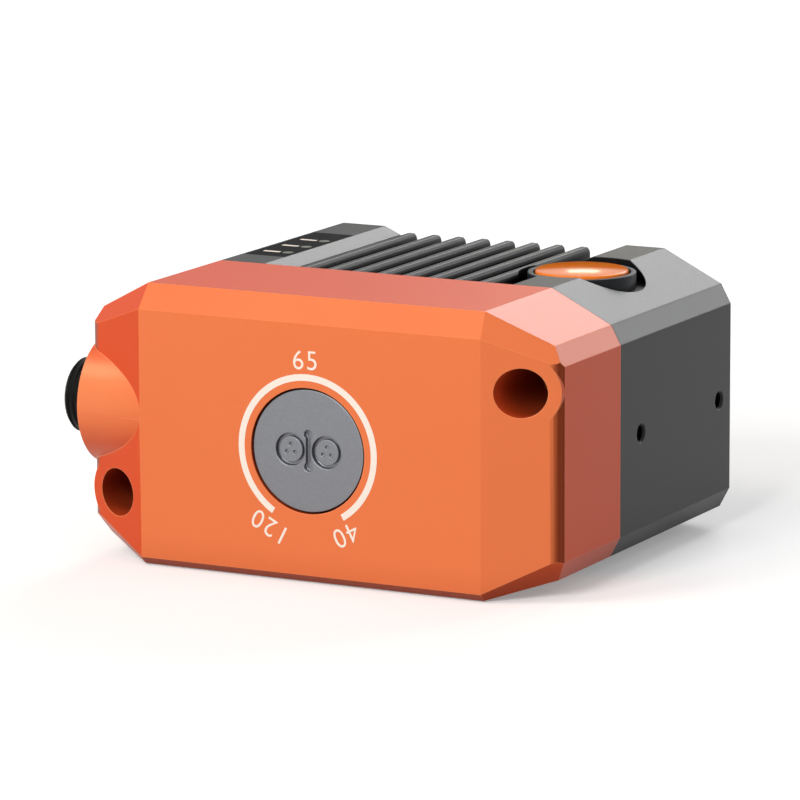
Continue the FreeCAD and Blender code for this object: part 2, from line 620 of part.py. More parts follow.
# ---------------------------------------------------------------- focus dial and drive
DIAL_FACE = f"({FRONT} + dial_sink)"
DIAL_BACK = f"({DIAL_FACE} + dial_thickness)"
FLANGE_BACK = f"({DIAL_BACK} + dial_hub_length)"
BUSH_FRONT = f"({FLANGE_BACK} + dial_running_gap)"
BUSH_FLANGE = f"({FRONT} + front_wall)"
CLIP_FRONT = f"({BUSH_FLANGE} + bush_flange_thickness + clip_gap)"
FRAME_FRONT = f"({COVER_REAR} + frame_front_margin)"
PINION_FRONT = f"({FRAME_FRONT} + frame_front_wall + pinion_inset)"
PITCH_RADIUS = "(pinion_teeth * gear_module / 2)"
RACK_X = f"({PITCH_RADIUS} + rack_root + rack_back / 2)"


def focus_dial():
    """Turned disc with a driver slot between two round pockets for its screws."""
    body = doc.addObject("PartDesign::Body", "dial_body")
    face = body_sketch(body, "XZ_Plane", "dial_face", f"0 - {DIAL_FACE}")
    circle(face, "dial_size / 2", "0", "dial_level")
    pad(body, face, "dial_thickness", True)
    slot = body_sketch(body, "XZ_Plane", "driver_slot", f"0 - {DIAL_FACE}")
    rectangle(slot, "0 - slot_width / 2", "dial_level - slot_length / 2 + slot_end / 2",
              "slot_width / 2", "dial_level + slot_length / 2 - slot_end / 2")
    pocket(body, slot, "slot_depth")
    cuts = []
    for index, sign in enumerate("-+", start=1):
        cuts.append(cylinder(f"slot_end_{index}", "slot_end / 2", "slot_depth", "0", DIAL_FACE,
                             f"dial_level {sign} (slot_length - slot_end) / 2", ALONG_Y))
        x = f"0 {sign} dial_screw_offset"
        cuts.append(cylinder(f"dial_pocket_{index}", "dial_pocket / 2", "dial_pocket_depth",
                             x, DIAL_FACE, "dial_level", ALONG_Y))
        cuts.append(cylinder(f"dial_screw_hole_{index}",
                             "dial_screw_size / 2 + screw_clearance / 2",
                             "dial_thickness", x, DIAL_FACE, "dial_level", ALONG_Y))
    return node(cut("dial", body, fuse("dial_cuts", cuts)), "focus_dial")


def dial_screws():
    """Two tamper-proof screws with three small blind holes in each head."""
    screws = []
    for index, sign in enumerate("-+", start=1):
        x = f"0 {sign} dial_screw_offset"
        seat = f"({DIAL_FACE} + dial_pocket_depth)"
        head = cylinder(f"dial_head_{index}", "dial_screw_head / 2", "dial_screw_head_height",
                        x, f"{seat} - dial_screw_head_height", "dial_level", ALONG_Y)
        shank = cylinder(f"dial_shank_{index}", "dial_screw_size / 2",
                         "dial_thickness - dial_pocket_depth + dial_hub_length",
                         x, seat, "dial_level", ALONG_Y)
        dots = []
        for step in range(3):
            angle = f"(90 + 120 * {step})"
            dots.append(cylinder(
                f"driver_hole_{index}_{step + 1}", "driver_hole / 2",
                "dial_screw_head_height / 2",
                f"{x} + driver_hole_ring / 2 * cos({angle})",
                f"{seat} - dial_screw_head_height",
                f"dial_level + driver_hole_ring / 2 * sin({angle})", ALONG_Y))
        screws.append(cut(f"dial_screw_{index}", fuse(f"dial_screw_blank_{index}",
                                                      [head, shank]),
                          fuse(f"driver_holes_{index}", dots)))
    return node(group("dial_screw_pair", screws), "dial_screws")


def dial_shaft():
    """Stepped steel shaft: flange, seal groove, clip groove, and a spigot for the pinion."""
    body = doc.addObject("PartDesign::Body", "shaft_body")
    half = body_sketch(body, "XY_Plane", "shaft_half", "dial_level")
    seal_front = f"({BUSH_FRONT} + ring_wire)"
    pinion_back = f"({PINION_FRONT} + pinion_face)"
    outline(half, [
        ("0", DIAL_BACK), ("dial_hub / 2", DIAL_BACK), ("dial_hub / 2", FLANGE_BACK),
        ("shaft_size / 2", FLANGE_BACK), ("shaft_size / 2", seal_front),
        ("shaft_size / 2 - ring_wire", seal_front),
        ("shaft_size / 2 - ring_wire", f"{seal_front} + ring_groove"),
        ("shaft_size / 2", f"{seal_front} + ring_groove"),
        ("shaft_size / 2", CLIP_FRONT), ("shaft_size / 2 - clip_thickness / 2", CLIP_FRONT),
        ("shaft_size / 2 - clip_thickness / 2", f"{CLIP_FRONT} + clip_thickness"),
        ("shaft_size / 2", f"{CLIP_FRONT} + clip_thickness"),
        ("shaft_size / 2", PINION_FRONT), ("pinion_bore / 2 - seat_play", PINION_FRONT),
        ("pinion_bore / 2 - seat_play", pinion_back), ("0", pinion_back)])
    revolve(body, half, "V_Axis")
    holes = []
    for index, sign in enumerate("-+", start=1):
        holes.append(cylinder(f"flange_thread_{index}",
                              "dial_screw_size / 2 + screw_clearance / 2",
                              "dial_hub_length", f"0 {sign} dial_screw_offset", DIAL_BACK,
                              "dial_level", ALONG_Y))
    return node(cut("shaft", body, fuse("flange_threads", holes)), "dial_shaft")


def dial_seal():
    wire = "(ring_wire / 2 - shaft_fit / 2)"
    ring = torus("dial_ring", f"shaft_size / 2 - {wire}", wire, "0",
                 f"{BUSH_FRONT} + ring_wire + ring_groove / 2", "dial_level", ALONG_Y)
    return node(ring, "dial_seal")


def dial_bush():
    """Flanged plain bearing pressed into the cover's front wall."""
    sleeve = cylinder("bush_sleeve", "bush_outer / 2", f"{BUSH_FLANGE} - {BUSH_FRONT}",
                      "0", BUSH_FRONT, "dial_level", ALONG_Y)
    flange = cylinder("bush_rim", "bush_flange / 2", "bush_flange_thickness", "0",
                      BUSH_FLANGE, "dial_level", ALONG_Y)
    hole = cylinder("bush_hole", "shaft_size / 2 + shaft_fit", "front_wall * 2", "0",
                    BUSH_FRONT, "dial_level", ALONG_Y)
    return node(cut("bush", fuse("bush_blank", [sleeve, flange]), hole), "dial_bush")


def dial_clip():
    """Spring clip that keeps the shaft in its bush."""
    ring = tube("clip_ring", "clip_outer / 2", "shaft_size / 2 - clip_thickness / 2 + seat_play",
                "clip_thickness - seat_play", "0", CLIP_FRONT, "dial_level", ALONG_Y)
    mouth = box("clip_mouth", "0", f"{CLIP_FRONT} + clip_thickness / 2",
                "dial_level - clip_outer", "clip_mouth", "3 * clip_thickness", "clip_outer")
    return node(cut("clip", ring, mouth), "dial_clip")


def involute(base, radius):
    """Polar angle gained by an involute between its base circle and a radius."""
    roll = math.sqrt(max((radius / base) ** 2 - 1, 0))
    return roll - math.atan(roll)


def focus_pinion():
    """Small spur gear with involute flanks, thinned for backlash."""
    module = size("gear_module")
    teeth = int(size("pinion_teeth"))
    pitch = module * teeth / 2
    pressure = math.radians(20)
    base = pitch * math.cos(pressure)
    tip = pitch + size("tooth_tip")
    root = pitch - size("tooth_root")
    half_tooth = math.pi / (2 * teeth) - size("gear_backlash") / 2 / pitch
    points = []
    for tooth in range(teeth):
        middle = 2 * math.pi * tooth / teeth + math.pi / teeth
        flank = []
        for step in range(5):
            radius = base + (tip - base) * step / 4
            flank.append((radius, half_tooth + involute(base, pitch) - involute(base, radius)))
        flank.insert(0, (root, flank[0][1]))
        for radius, angle in flank:
            points.append((radius, middle - angle))
        for radius, angle in reversed(flank):
            points.append((radius, middle + angle))
    wire = [Vector(r * math.cos(a), r * math.sin(a), 0) for r, a in points]
    face = Part.Face(Part.makePolygon(wire + wire[:1]))
    solid = face.extrude(Vector(0, 0, size("pinion_face")))
    bore = Part.makeCylinder(size("pinion_bore") / 2, size("pinion_face"))
    gear = doc.addObject("Part::Feature", "pinion_gear")
    gear.Shape = solid.cut(bore)
    locate(gear, "0", PINION_FRONT, "dial_level", ALONG_Y)
    return node(gear, "focus_pinion")


# ---------------------------------------------------------------- lens carriage
def lens_carrier():
    """Ring with two guide ears and an arm that carries the focusing rack."""
    body = doc.addObject("PartDesign::Body", "carrier_body")
    plan = body_sketch(body, "XY_Plane", "carrier_plan", "carrier_low")
    circle(plan, "carrier_outer / 2", "0", OPTIC_Y)
    pad(body, plan, "carrier_height")
    pieces = [body]
    holes = [cylinder("barrel_seat", "barrel_size / 2 + barrel_fit", "carrier_height",
                      "0", OPTIC_Y, "carrier_low")]
    for side, sign in (("left", "-"), ("right", "+")):
        x = f"0 {sign} rod_spacing / 2"
        pieces.append(cylinder(f"ear_{side}", "ear_size / 2", "carrier_height", x, OPTIC_Y,
                               "carrier_low"))
        holes.append(cylinder(f"guide_bore_{side}", "rod_size / 2 + rod_fit",
                              "carrier_height", x, OPTIC_Y, "carrier_low"))
    arm_x = RACK_X
    rack_y = f"({PINION_FRONT} + pinion_face / 2)"
    pieces.append(box("rack_arm", arm_x, f"({rack_y} - rack_width / 2 + {OPTIC_Y}) / 2",
                      "carrier_low", "rack_back",
                      f"{OPTIC_Y} - {rack_y} + rack_width / 2", "carrier_height"))
    pieces.append(box("rack_bar", arm_x, rack_y, "carrier_low", "rack_back", "rack_width",
                      "carrier_height + rack_above"))
    whole = cut("carrier_blank", fuse("carrier_mass", pieces), fuse("carrier_bores", holes))
    return node(fuse("carrier", [whole, rack_teeth()]), "lens_carrier")


def rack_teeth():
    """Straight-sided rack teeth, spaced so that a tooth space faces the pinion's tooth."""
    module = size("gear_module")
    pitch = math.pi * module
    pitch_line = module * size("pinion_teeth") / 2
    slant = math.tan(math.radians(20))
    half = pitch / 4 - size("gear_backlash") / 2
    tip = size("tooth_tip")
    foot = size("rack_root")
    seat = foot + size("tooth_seat")
    level = size("dial_level")
    low = size("carrier_low") + size("carrier_height") + pitch / 2
    high = size("carrier_low") + size("carrier_height") + size("rack_above") - pitch / 2
    y = (-size("body_depth") / 2 + size("cover_depth") + size("frame_front_margin")
         + size("frame_front_wall") + size("pinion_inset")
         + size("pinion_face") / 2 - size("rack_width") / 2)
    solids = []
    for index in range(math.ceil((low - level) / pitch), math.floor((high - level) / pitch) + 1):
        z = level + index * pitch
        corners = [Vector(pitch_line + seat, y, z - half - foot * slant),
                   Vector(pitch_line - tip, y, z - half + tip * slant),
                   Vector(pitch_line - tip, y, z + half - tip * slant),
                   Vector(pitch_line + seat, y, z + half + foot * slant)]
        face = Part.Face(Part.makePolygon(corners + corners[:1]))
        solids.append(face.extrude(Vector(0, size("rack_width"), 0)))
    teeth = doc.addObject("Part::Feature", "rack_teeth")
    teeth.Shape = Part.makeCompound(solids)
    return teeth


def lens_barrel():
    body = doc.addObject("PartDesign::Body", "barrel_body")
    half = body_sketch(body, "XZ_Plane", "barrel_half")
    top = "(barrel_low + barrel_length)"
    middle = "(barrel_low + barrel_length / 2)"
    outline(half, [
        ("retainer_bore / 2", f"{middle} + lens_shoulder / 2"),
        ("barrel_bore / 2", f"{middle} + lens_shoulder / 2"),
        ("barrel_bore / 2", top), ("barrel_size / 2 - barrel_edge", top),
        ("barrel_size / 2", f"{top} - barrel_edge"),
        ("barrel_size / 2", "barrel_low + barrel_edge"),
        ("barrel_size / 2 - barrel_edge", "barrel_low"), ("barrel_bore / 2", "barrel_low"),
        ("barrel_bore / 2", f"{middle} - lens_shoulder / 2"),
        ("retainer_bore / 2", f"{middle} - lens_shoulder / 2")])
    revolve(body, half, "V_Axis")
    locate(body, "0", OPTIC_Y, "0")
    return node(body, "lens_barrel")


def lens(name, level, up):
    """A plano-convex lens whose round face looks down or up."""
    radius = size("barrel_bore") / 2 - size("lens_gap")
    sag = size("lens_sag")
    edge = size("lens_edge")
    ball = (radius ** 2 + sag ** 2) / (2 * sag)
    disc = Part.makeCylinder(radius, edge + sag)
    cap = Part.makeSphere(ball, Vector(0, 0, edge + sag - ball))
    glass = doc.addObject("Part::Feature", name + "_glass")
    glass.Shape = disc.common(cap)
    turn = ALONG_Z if up else Rotation(Vector(1, 0, 0), 180)
    locate(glass, "0", OPTIC_Y, level, turn)
    return node(glass, name)


def lens_retainers():
    low = "barrel_low"
    high = "(barrel_low + barrel_length - retainer_height)"
    rings = []
    for index, level in enumerate((low, high), start=1):
        rings.append(tube(f"retainer_{index}", "barrel_bore / 2 - lens_gap",
                          "retainer_bore / 2", "retainer_height", "0", OPTIC_Y, level))
    return node(group("retainer_pair", rings), "lens_retainers")


def guide_rods():
    rods = []
    for side, sign in (("left", "-"), ("right", "+")):
        rods.append(cylinder(f"rod_{side}", "rod_size / 2",
                             f"frame_roof - frame_roof_thickness - {LED_BOARD_TOP}",
                             f"0 {sign} rod_spacing / 2", OPTIC_Y, LED_BOARD_TOP))
    return node(group("rod_pair", rods), "guide_rods")


LED_BOARD_TOP = "(base_wall + board_thickness)"


def optics_frame():
    """Die-cast bridge over the lens that holds the rods, the shaft end and the sensor."""
    body = doc.addObject("PartDesign::Body", "frame_body")
    arch = body_sketch(body, "XZ_Plane", "frame_arch", f"0 - {FRAME_FRONT}")
    rectangle(arch, "0 - frame_width / 2", LED_BOARD_TOP, "frame_width / 2", "frame_roof")
    pad(body, arch, f"{REAR} - frame_rear_margin - {FRAME_FRONT}", True)
    room = body_sketch(body, "XZ_Plane", "frame_room", f"0 - {REAR} + frame_rear_margin")
    rectangle(room, "frame_wall - frame_width / 2", LED_BOARD_TOP,
              "frame_width / 2 - frame_wall", "frame_roof - frame_roof_thickness")
    pocket(body, room, f"{REAR} - frame_rear_margin - {FRAME_FRONT} - frame_front_wall", True)
    holes = [
        cylinder("light_path", "light_hole / 2", "frame_roof", "0", OPTIC_Y, LED_BOARD_TOP),
        cylinder("shaft_bore", "shaft_size / 2 + shaft_fit", "frame_front_wall * 2", "0",
                 f"{FRAME_FRONT} - frame_front_wall / 2", "dial_level", ALONG_Y),
        box("rack_slot", RACK_X, f"{PINION_FRONT} + pinion_face / 2",
            "frame_roof - 2 * frame_roof_thickness", "rack_slot_width", "rack_slot_depth",
            "3 * frame_roof_thickness")]
    return node(cut("bridge", body, fuse("frame_holes", holes)), "optics_frame")


# ---------------------------------------------------------------- boards
SENSOR_BOARD_LOW = "(frame_roof + sensor_spacer)"
MAIN_TOP = "(main_board_level + board_thickness)"
MAIN_Y = f"({COVER_REAR} + main_board_gap + main_board_depth / 2)"


def led_board():
    plate = box("led_plate", "0", OPTIC_Y, "base_wall", "led_board_width", "led_board_depth",
                "board_thickness")
    holes = [cylinder("led_lens_hole", "led_board_hole / 2", "body_height", "0", OPTIC_Y, "0")]
    for index, (x, y) in enumerate(led_screw_places(), start=1):
        holes.append(cylinder(f"led_hole_{index}", "window_screw_size / 2 + screw_clearance",
                              "body_height", x, y, "0"))
    return node(cut("led_panel", plate, fuse("led_holes", holes)), "led_board")


def illumination_leds():
    lamps = []
    for index in range(int(size("led_count"))):
        angle = f"(360 * ({index} + 0.5) / led_count)"
        lamps.append(box(f"lamp_{index + 1}", f"led_ring / 2 * cos({angle})",
                         f"{OPTIC_Y} + led_ring / 2 * sin({angle})", "base_wall - led_height",
                         "led_size", "led_size", "led_height"))
    return node(group("lamp_ring", lamps), "illumination_leds")


def small_screw(name, x, y, level, length, head_up):
    """Pan head on the given level with its shank beyond it, pointing down or up."""
    if head_up:
        head = cylinder(name + "_head", "window_screw_head / 2", "small_head_height", x, y, level)
        shank = cylinder(name + "_shank", "window_screw_size / 2", length, x, y,
                         f"{level} - ({length})")
    else:
        head = cylinder(name + "_head", "window_screw_head / 2", "small_head_height", x, y,
                        f"{level} - small_head_height")
        shank = cylinder(name + "_shank", "window_screw_size / 2", length, x, y, level)
    return fuse(name, [head, shank])


def led_board_screws():
    screws = [small_screw(f"led_screw_{index}", x, y, LED_BOARD_TOP,
                          "board_thickness + led_screw_depth", True)
              for index, (x, y) in enumerate(led_screw_places(), start=1)]
    return node(group("led_screw_set", screws), "led_board_screws")


def sensor_board():
    plate = box("sensor_plate", "0", OPTIC_Y, SENSOR_BOARD_LOW, "sensor_board_width",
                "sensor_board_depth", "board_thickness")
    return node(plate, "sensor_board")


def image_sensor():
    package = box("sensor_package", "0", OPTIC_Y, f"{SENSOR_BOARD_LOW} - sensor_height",
                  "sensor_size", "sensor_size", "sensor_height")
    return node(package, "image_sensor")


def sensor_glass():
    cover = box("sensor_window", "0", OPTIC_Y,
                f"{SENSOR_BOARD_LOW} - sensor_height - sensor_glass",
                "sensor_size - 2 * glass_margin", "sensor_size - 2 * glass_margin",
                "sensor_glass")
    return node(cover, "sensor_glass")


def sensor_spacers():
    spacers = []
    for a in "-+":
        for b in "-+":
            spacers.append(cylinder(
                f"spacer_{len(spacers) + 1}", "spacer_size / 2", "sensor_spacer",
                f"0 {a} (sensor_board_width - spacer_size) / 2",
                f"{OPTIC_Y} {b} ((sensor_board_depth - spacer_size) / 2 - spacer_shift)",
                "frame_roof"))
    return node(group("spacer_set", spacers), "sensor_spacers")


def board_link():
    link = box("link_block", "0", f"{OPTIC_Y} + sensor_board_depth / 2 - link_depth",
               f"{SENSOR_BOARD_LOW} + board_thickness", "link_width", "link_depth",
               f"main_board_level - {SENSOR_BOARD_LOW} - board_thickness")
    return node(link, "board_link")


def post_places():
    return [(f"0 {a} (main_board_width / 2 - post_inset)",
             f"{MAIN_Y} {b} (main_board_depth / 2 - post_inset)") for a in "-+" for b in "-+"]


def processor_board():
    plate = box("main_plate", "0", MAIN_Y, "main_board_level", "main_board_width",
                "main_board_depth", "board_thickness")
    holes = [cylinder(f"main_hole_{index}", "window_screw_size / 2 + screw_clearance",
                      "board_thickness * 3", x, y, "main_board_level - board_thickness")
             for index, (x, y) in enumerate(post_places(), start=1)]
    return node(cut("main_panel", plate, fuse("main_holes", holes)), "processor_board")


def board_posts():
    posts = [tube(f"post_{index}", "post_size / 2",
                  "window_screw_size / 2 + screw_clearance / 2", f"roof_level - {MAIN_TOP}",
                  x, y, MAIN_TOP)
             for index, (x, y) in enumerate(post_places(), start=1)]
    return node(group("post_set", posts), "board_posts")


def board_screws():
    screws = [small_screw(f"main_screw_{index}", x, y, "main_board_level",
                          "board_screw_length", False)
              for index, (x, y) in enumerate(post_places(), start=1)]
    return node(group("main_screw_set", screws), "board_screws")


def processor_chip():
    chip = box("chip_body", "0 - chip_size / 2", MAIN_Y, MAIN_TOP, "chip_size", "chip_size",
               "chip_height")
    return node(chip, "processor_chip")


def thermal_pad():
    sheet_block = box("pad_block", "0 - chip_size / 2", MAIN_Y, f"{MAIN_TOP} + chip_height",
                      "chip_size", "chip_size", f"roof_level - {MAIN_TOP} - chip_height")
    return node(sheet_block, "thermal_pad")


def memory_chips():
    chips = [box(f"memory_{index}", "memory_offset", f"{MAIN_Y} {sign} memory_pitch / 2",
                 MAIN_TOP, "memory_width", "memory_length", "memory_height")
             for index, sign in enumerate("-+", start=1)]
    return node(group("memory_pair", chips), "memory_chips")


def indicator_leds():
    lamps = [box(f"indicator_{index + 1}", PIPE_X, pipe_y(index), MAIN_TOP, "indicator_size",
                 "indicator_size", "indicator_height")
             for index in range(int(size("pipe_count")))]
    return node(group("indicator_set", lamps), "indicator_leds")


def light_pipes():
    low = f"({MAIN_TOP} + indicator_height + pipe_gap)"
    pipes = [cylinder(f"pipe_{index + 1}", "pipe_size / 2",
                      f"body_height - panel_thickness - {low}", PIPE_X, pipe_y(index), low)
             for index in range(int(size("pipe_count")))]
    return node(group("pipe_set", pipes), "light_pipes")


def indicator_panel():
    plate = box("panel_plate", PANEL_X, PANEL_Y,
                "body_height - panel_thickness", "panel_width - 2 * seat_play",
                "panel_length - 2 * seat_play", "panel_thickness")
    return node(plate, "indicator_panel")


def led_strap():
    strap = box("led_strap_strip", "0", f"{REAR} - rear_wall - strap_inset",
                LED_BOARD_TOP, "strap_width", "strap_thickness",
                f"main_board_level - {LED_BOARD_TOP}")
    return node(strap, "led_strap")


# ---------------------------------------------------------------- window
def window_ring(body, name, offset, wide, deep, inner_wide, inner_deep, thickness):
    drawing = body_sketch(body, "XY_Plane", name, offset)
    for half_x, half_y in ((inner_wide, inner_deep), (wide, deep)):
        rectangle(drawing, f"0 - ({half_x}) / 2", f"{OPTIC_Y} - ({half_y}) / 2",
                  f"({half_x}) / 2", f"{OPTIC_Y} + ({half_y}) / 2")
    return pad(body, drawing, thickness)


def window_frame():
    body = doc.addObject("PartDesign::Body", "window_frame_body")
    window_ring(body, "frame_ring", "0", "window_frame_width", "window_frame_depth",
                "light_opening_width", "light_opening_depth", "window_frame_thickness")
    sinks = []
    for index, (x, y) in enumerate(window_screw_places(), start=1):
        sinks.append(cylinder(f"frame_hole_{index}", "window_screw_size / 2 + screw_clearance",
                              "window_frame_thickness", x, y, "0"))
        sinks.append(cylinder(f"frame_sink_{index}", "window_screw_head / 2 + screw_clearance",
                              "window_screw_sink", x, y, "0"))
    return node(cut("window_bezel", body, fuse("frame_sinks", sinks)), "window_frame")


def optical_window():
    pane = box("window_pane", "0", OPTIC_Y, "window_frame_thickness", "window_width",
               "window_depth", "window_thickness")
    return node(pane, "optical_window")


def window_gasket():
    body = doc.addObject("PartDesign::Body", "window_gasket_body")
    window_ring(body, "seal_ring", "window_frame_thickness + window_thickness",
                "window_width", "window_depth", "light_opening_width", "light_opening_depth",
                "window_gasket")
    return node(body, "window_gasket")


def window_screws():
    screws = []
    for index, (x, y) in enumerate(window_screw_places(), start=1):
        head = cylinder(f"window_head_{index}", "window_screw_head / 2",
                        "window_screw_sink - seat_play", x, y, "seat_play")
        shank = cylinder(f"window_shank_{index}", "window_screw_size / 2",
                         "window_screw_length - 3 * seat_play", x, y, "2 * seat_play")
        key = doc.addObject("Part::Prism", f"window_key_{index}")
        key.Polygon = 6
        bind(key, Circumradius="window_key / sqrt(3)", Height="window_key_depth")
        locate(key, x, y, "0")
        screws.append(cut(f"window_screw_{index}", fuse(f"window_screw_blank_{index}",
                                                        [head, shank]), key))
    return node(group("window_screw_set", screws), "window_screws")


# ---------------------------------------------------------------- trigger button
def trigger_button():
    """Moulded cap with a skirt and a stem that reaches down to the switch."""
    body = doc.addObject("PartDesign::Body", "button_body")
    half = body_sketch(body, "XZ_Plane", "button_half")
    under = "(body_height - button_crown - button_top_wall)"
    skirt_low = f"({POCKET_FLOOR} + button_travel + floor_gap)"
    outline(half, [
        ("0", "stem_end_level"), ("button_stem / 2", "stem_end_level"),
        ("button_stem / 2", under), ("button_size / 2 - button_skirt", under),
        ("button_size / 2 - button_skirt", skirt_low), ("button_size / 2", skirt_low),
        ("button_size / 2", "body_height - button_crown - button_edge"),
        ("button_size / 2 - button_edge / 4", "body_height - button_crown - button_edge / 3"),
        ("button_size / 2 - button_edge", "body_height - button_crown"),
        ("button_size * 3 / 8", "body_height - button_crown * 9 / 16"),
        ("button_size / 4", "body_height - button_crown / 4"),
        ("button_size / 8", "body_height - button_crown / 16"), ("0", "body_height")])
    revolve(body, half, "V_Axis")
    locate(body, "button_offset", BUTTON_Y, "0")
    return node(body, "trigger_button")


def button_bezel():
    ring = tube("bezel_ring", "button_size / 2 + button_gap + bezel_wall",
                "button_size / 2 + button_gap", "pocket_depth - bezel_sink",
                "button_offset", BUTTON_Y, POCKET_FLOOR)
    return node(ring, "button_bezel")


def button_seal():
    ring = tube("stem_seal", "seal_outer / 2", "button_stem / 2 + stem_clearance",
                "seal_thickness", "button_offset", BUTTON_Y, POCKET_FLOOR)
    return node(ring, "button_seal")


def button_spring():
    wire = size("spring_wire") / 2
    mean = size("spring_mean") / 2
    rise = (size("pocket_depth") - size("button_crown") - size("button_top_wall")
            - 2 * wire - 2 * size("spring_end_gap"))
    path = Part.makeHelix(rise / size("spring_turns"), rise, mean)
    section = Part.Wire(Part.makeCircle(wire, Vector(mean, 0, 0), Vector(0, 1, 0)))
    coil = doc.addObject("Part::Feature", "spring_coil")
    coil.Shape = Part.Wire(path).makePipeShell([section], True, True)
    locate(coil, "button_offset", BUTTON_Y,
           f"{POCKET_FLOOR} + spring_wire / 2 + spring_end_gap")
    return node(coil, "button_spring")


def tact_switch():
    case = box("switch_case", "button_offset", BUTTON_Y, MAIN_TOP, "switch_size",
               "switch_size", "switch_height")
    plunger = cylinder("switch_plunger", "plunger_size / 2", "plunger_height",
                       "button_offset", BUTTON_Y, f"{MAIN_TOP} + switch_height")
    return node(fuse("switch", [case, plunger]), "tact_switch")


# ---------------------------------------------------------------- round connector
MOUTH_X = f"(0 - {HALF_WIDTH} - connector_reach)"
SHOULDER_X = f"(0 - {INNER_HALF})"
INSERT_BACK = f"({SHOULDER_X} + insert_back)"


def connector_shell():
    """Turned sleeve, pushed out through the boss until its inner shoulder seats."""
    body = doc.addObject("PartDesign::Body", "shell_body")
    half = body_sketch(body, "XY_Plane", "shell_half", "connector_level")
    axis = CONNECTOR_Y
    groove_outer = "(connector_seal_mean / 2 + connector_seal_wire / 2 + seat_play)"
    groove_inner = "(connector_seal_mean / 2 - connector_seal_wire / 2 - seat_play)"
    back = f"{SHOULDER_X} + shoulder_thickness"
    relief_end = f"(0 - {HALF_WIDTH} - thread_relief)"
    corners = [
        (MOUTH_X, f"{axis} + socket_size / 2"), (back, f"{axis} + socket_size / 2"),
        (back, f"{axis} + shoulder_size / 2"),
        (SHOULDER_X, f"{axis} + shoulder_size / 2"),
        (SHOULDER_X, f"{axis} + {groove_outer}"),
        (f"{SHOULDER_X} + connector_seal_wire", f"{axis} + {groove_outer}"),
        (f"{SHOULDER_X} + connector_seal_wire", f"{axis} + {groove_inner}"),
        (SHOULDER_X, f"{axis} + {groove_inner}"),
        (SHOULDER_X, f"{axis} + connector_body / 2"),
        (f"0 - {HALF_WIDTH}", f"{axis} + connector_body / 2"),
        (f"0 - {HALF_WIDTH}", f"{axis} + thread_relief_size / 2"),
        (relief_end, f"{axis} + thread_relief_size / 2"),
        (relief_end, f"{axis} + connector_size / 2"),
        (f"{MOUTH_X} + connector_edge", f"{axis} + connector_size / 2"),
        (MOUTH_X, f"{axis} + connector_size / 2 - connector_edge")]
    outline(half, corners)
    line = half.addGeometry(Part.LineSegment(Vector(-GUESS, -GUESS, 0),
                                             Vector(GUESS, -GUESS, 0)), True)
    for point, across in ((1, MOUTH_X), (2, "0")):
        for kind, text in (("DistanceX", across), ("DistanceY", axis)):
            number = half.addConstraint(
                Sketcher.Constraint(kind, -1, 1, line, point, -GUESS))
            half.setExpression(f"Constraints[{number}]", formula(text))
    revolve(body, half, "Axis0")
    return node(body, "connector_shell")


def pin_places():
    places = []
    for index in range(int(size("pin_count"))):
        angle = f"(360 * ({index} + 0.5) / pin_count)"
        places.append((f"{CONNECTOR_Y} + pin_ring / 2 * cos({angle})",
                       f"connector_level + pin_ring / 2 * sin({angle})"))
    return places


def connector_insert():
    blank = cylinder("insert_blank", "socket_size / 2 - seat_play",
                     f"{INSERT_BACK} - {MOUTH_X} - socket_depth", f"{MOUTH_X} + socket_depth",
                     CONNECTOR_Y, "connector_level", ALONG_X)
    holes = [cylinder(f"pin_hole_{index}", "pin_size / 2 + seat_play",
                      f"{INSERT_BACK} - {MOUTH_X}", MOUTH_X, y, z, ALONG_X)
             for index, (y, z) in enumerate(pin_places(), start=1)]
    return node(cut("insert", blank, fuse("pin_holes", holes)), "connector_insert")


def connector_pins():
    pins = [cylinder(f"pin_{index}", "pin_size / 2",
                     f"{INSERT_BACK} + pin_tail - {MOUTH_X} - pin_recess",
                     f"{MOUTH_X} + pin_recess", y, z, ALONG_X)
            for index, (y, z) in enumerate(pin_places(), start=1)]
    return node(group("pin_set", pins), "connector_pins")


def connector_seal():
    ring = torus("shoulder_ring", "connector_seal_mean / 2", "connector_seal_wire / 2",
                 f"{SHOULDER_X} + connector_seal_wire / 2", CONNECTOR_Y, "connector_level",
                 ALONG_X)
    return node(ring, "connector_seal")


PORT_FACE = f"({INSERT_BACK} + pin_tail)"
PORT_Y = f"({CONNECTOR_Y} - port_board_front + port_board_width / 2)"


def connector_board():
    plate = box("port_plate", f"{PORT_FACE} - board_thickness / 2", PORT_Y,
                "connector_level - port_board_height / 2", "board_thickness",
                "port_board_width", "port_board_height")
    holes = [cylinder(f"port_hole_{index}", "pin_size / 2 + seat_play", "body_width / 2",
                      MOUTH_X, y, z, ALONG_X)
             for index, (y, z) in enumerate(pin_places(), start=1)]
    return node(cut("port_panel", plate, fuse("port_holes", holes)), "connector_board")


PLUG_X = f"({PORT_FACE} + strap_width / 2)"
PLUG_Y = f"({PORT_Y} + port_board_width / 2 - port_plug_depth / 2 - port_plug_inset)"
PLUG_TOP = "(connector_level + port_plug_height)"


def connector_plug():
    block = box("port_plug_block", PLUG_X, PLUG_Y, "connector_level", "strap_width",
                "port_plug_depth", "port_plug_height")
    return node(block, "connector_plug")


def connector_strap():
    """Flat flexible strap from the plug up and back to the processor board."""
    rise = box("strap_rise", PLUG_X, PLUG_Y, PLUG_TOP, "strap_width", "strap_thickness",
               f"main_board_level - {PLUG_TOP}")
    run = f"({COVER_REAR} + main_board_gap + strap_inset - {PLUG_Y})"
    over = box("strap_over", PLUG_X, f"{PLUG_Y} - strap_thickness / 2 + {run} / 2",
               "main_board_level - strap_thickness", "strap_width", run, "strap_thickness")
    return node(fuse("strap", [rise, over]), "connector_strap")


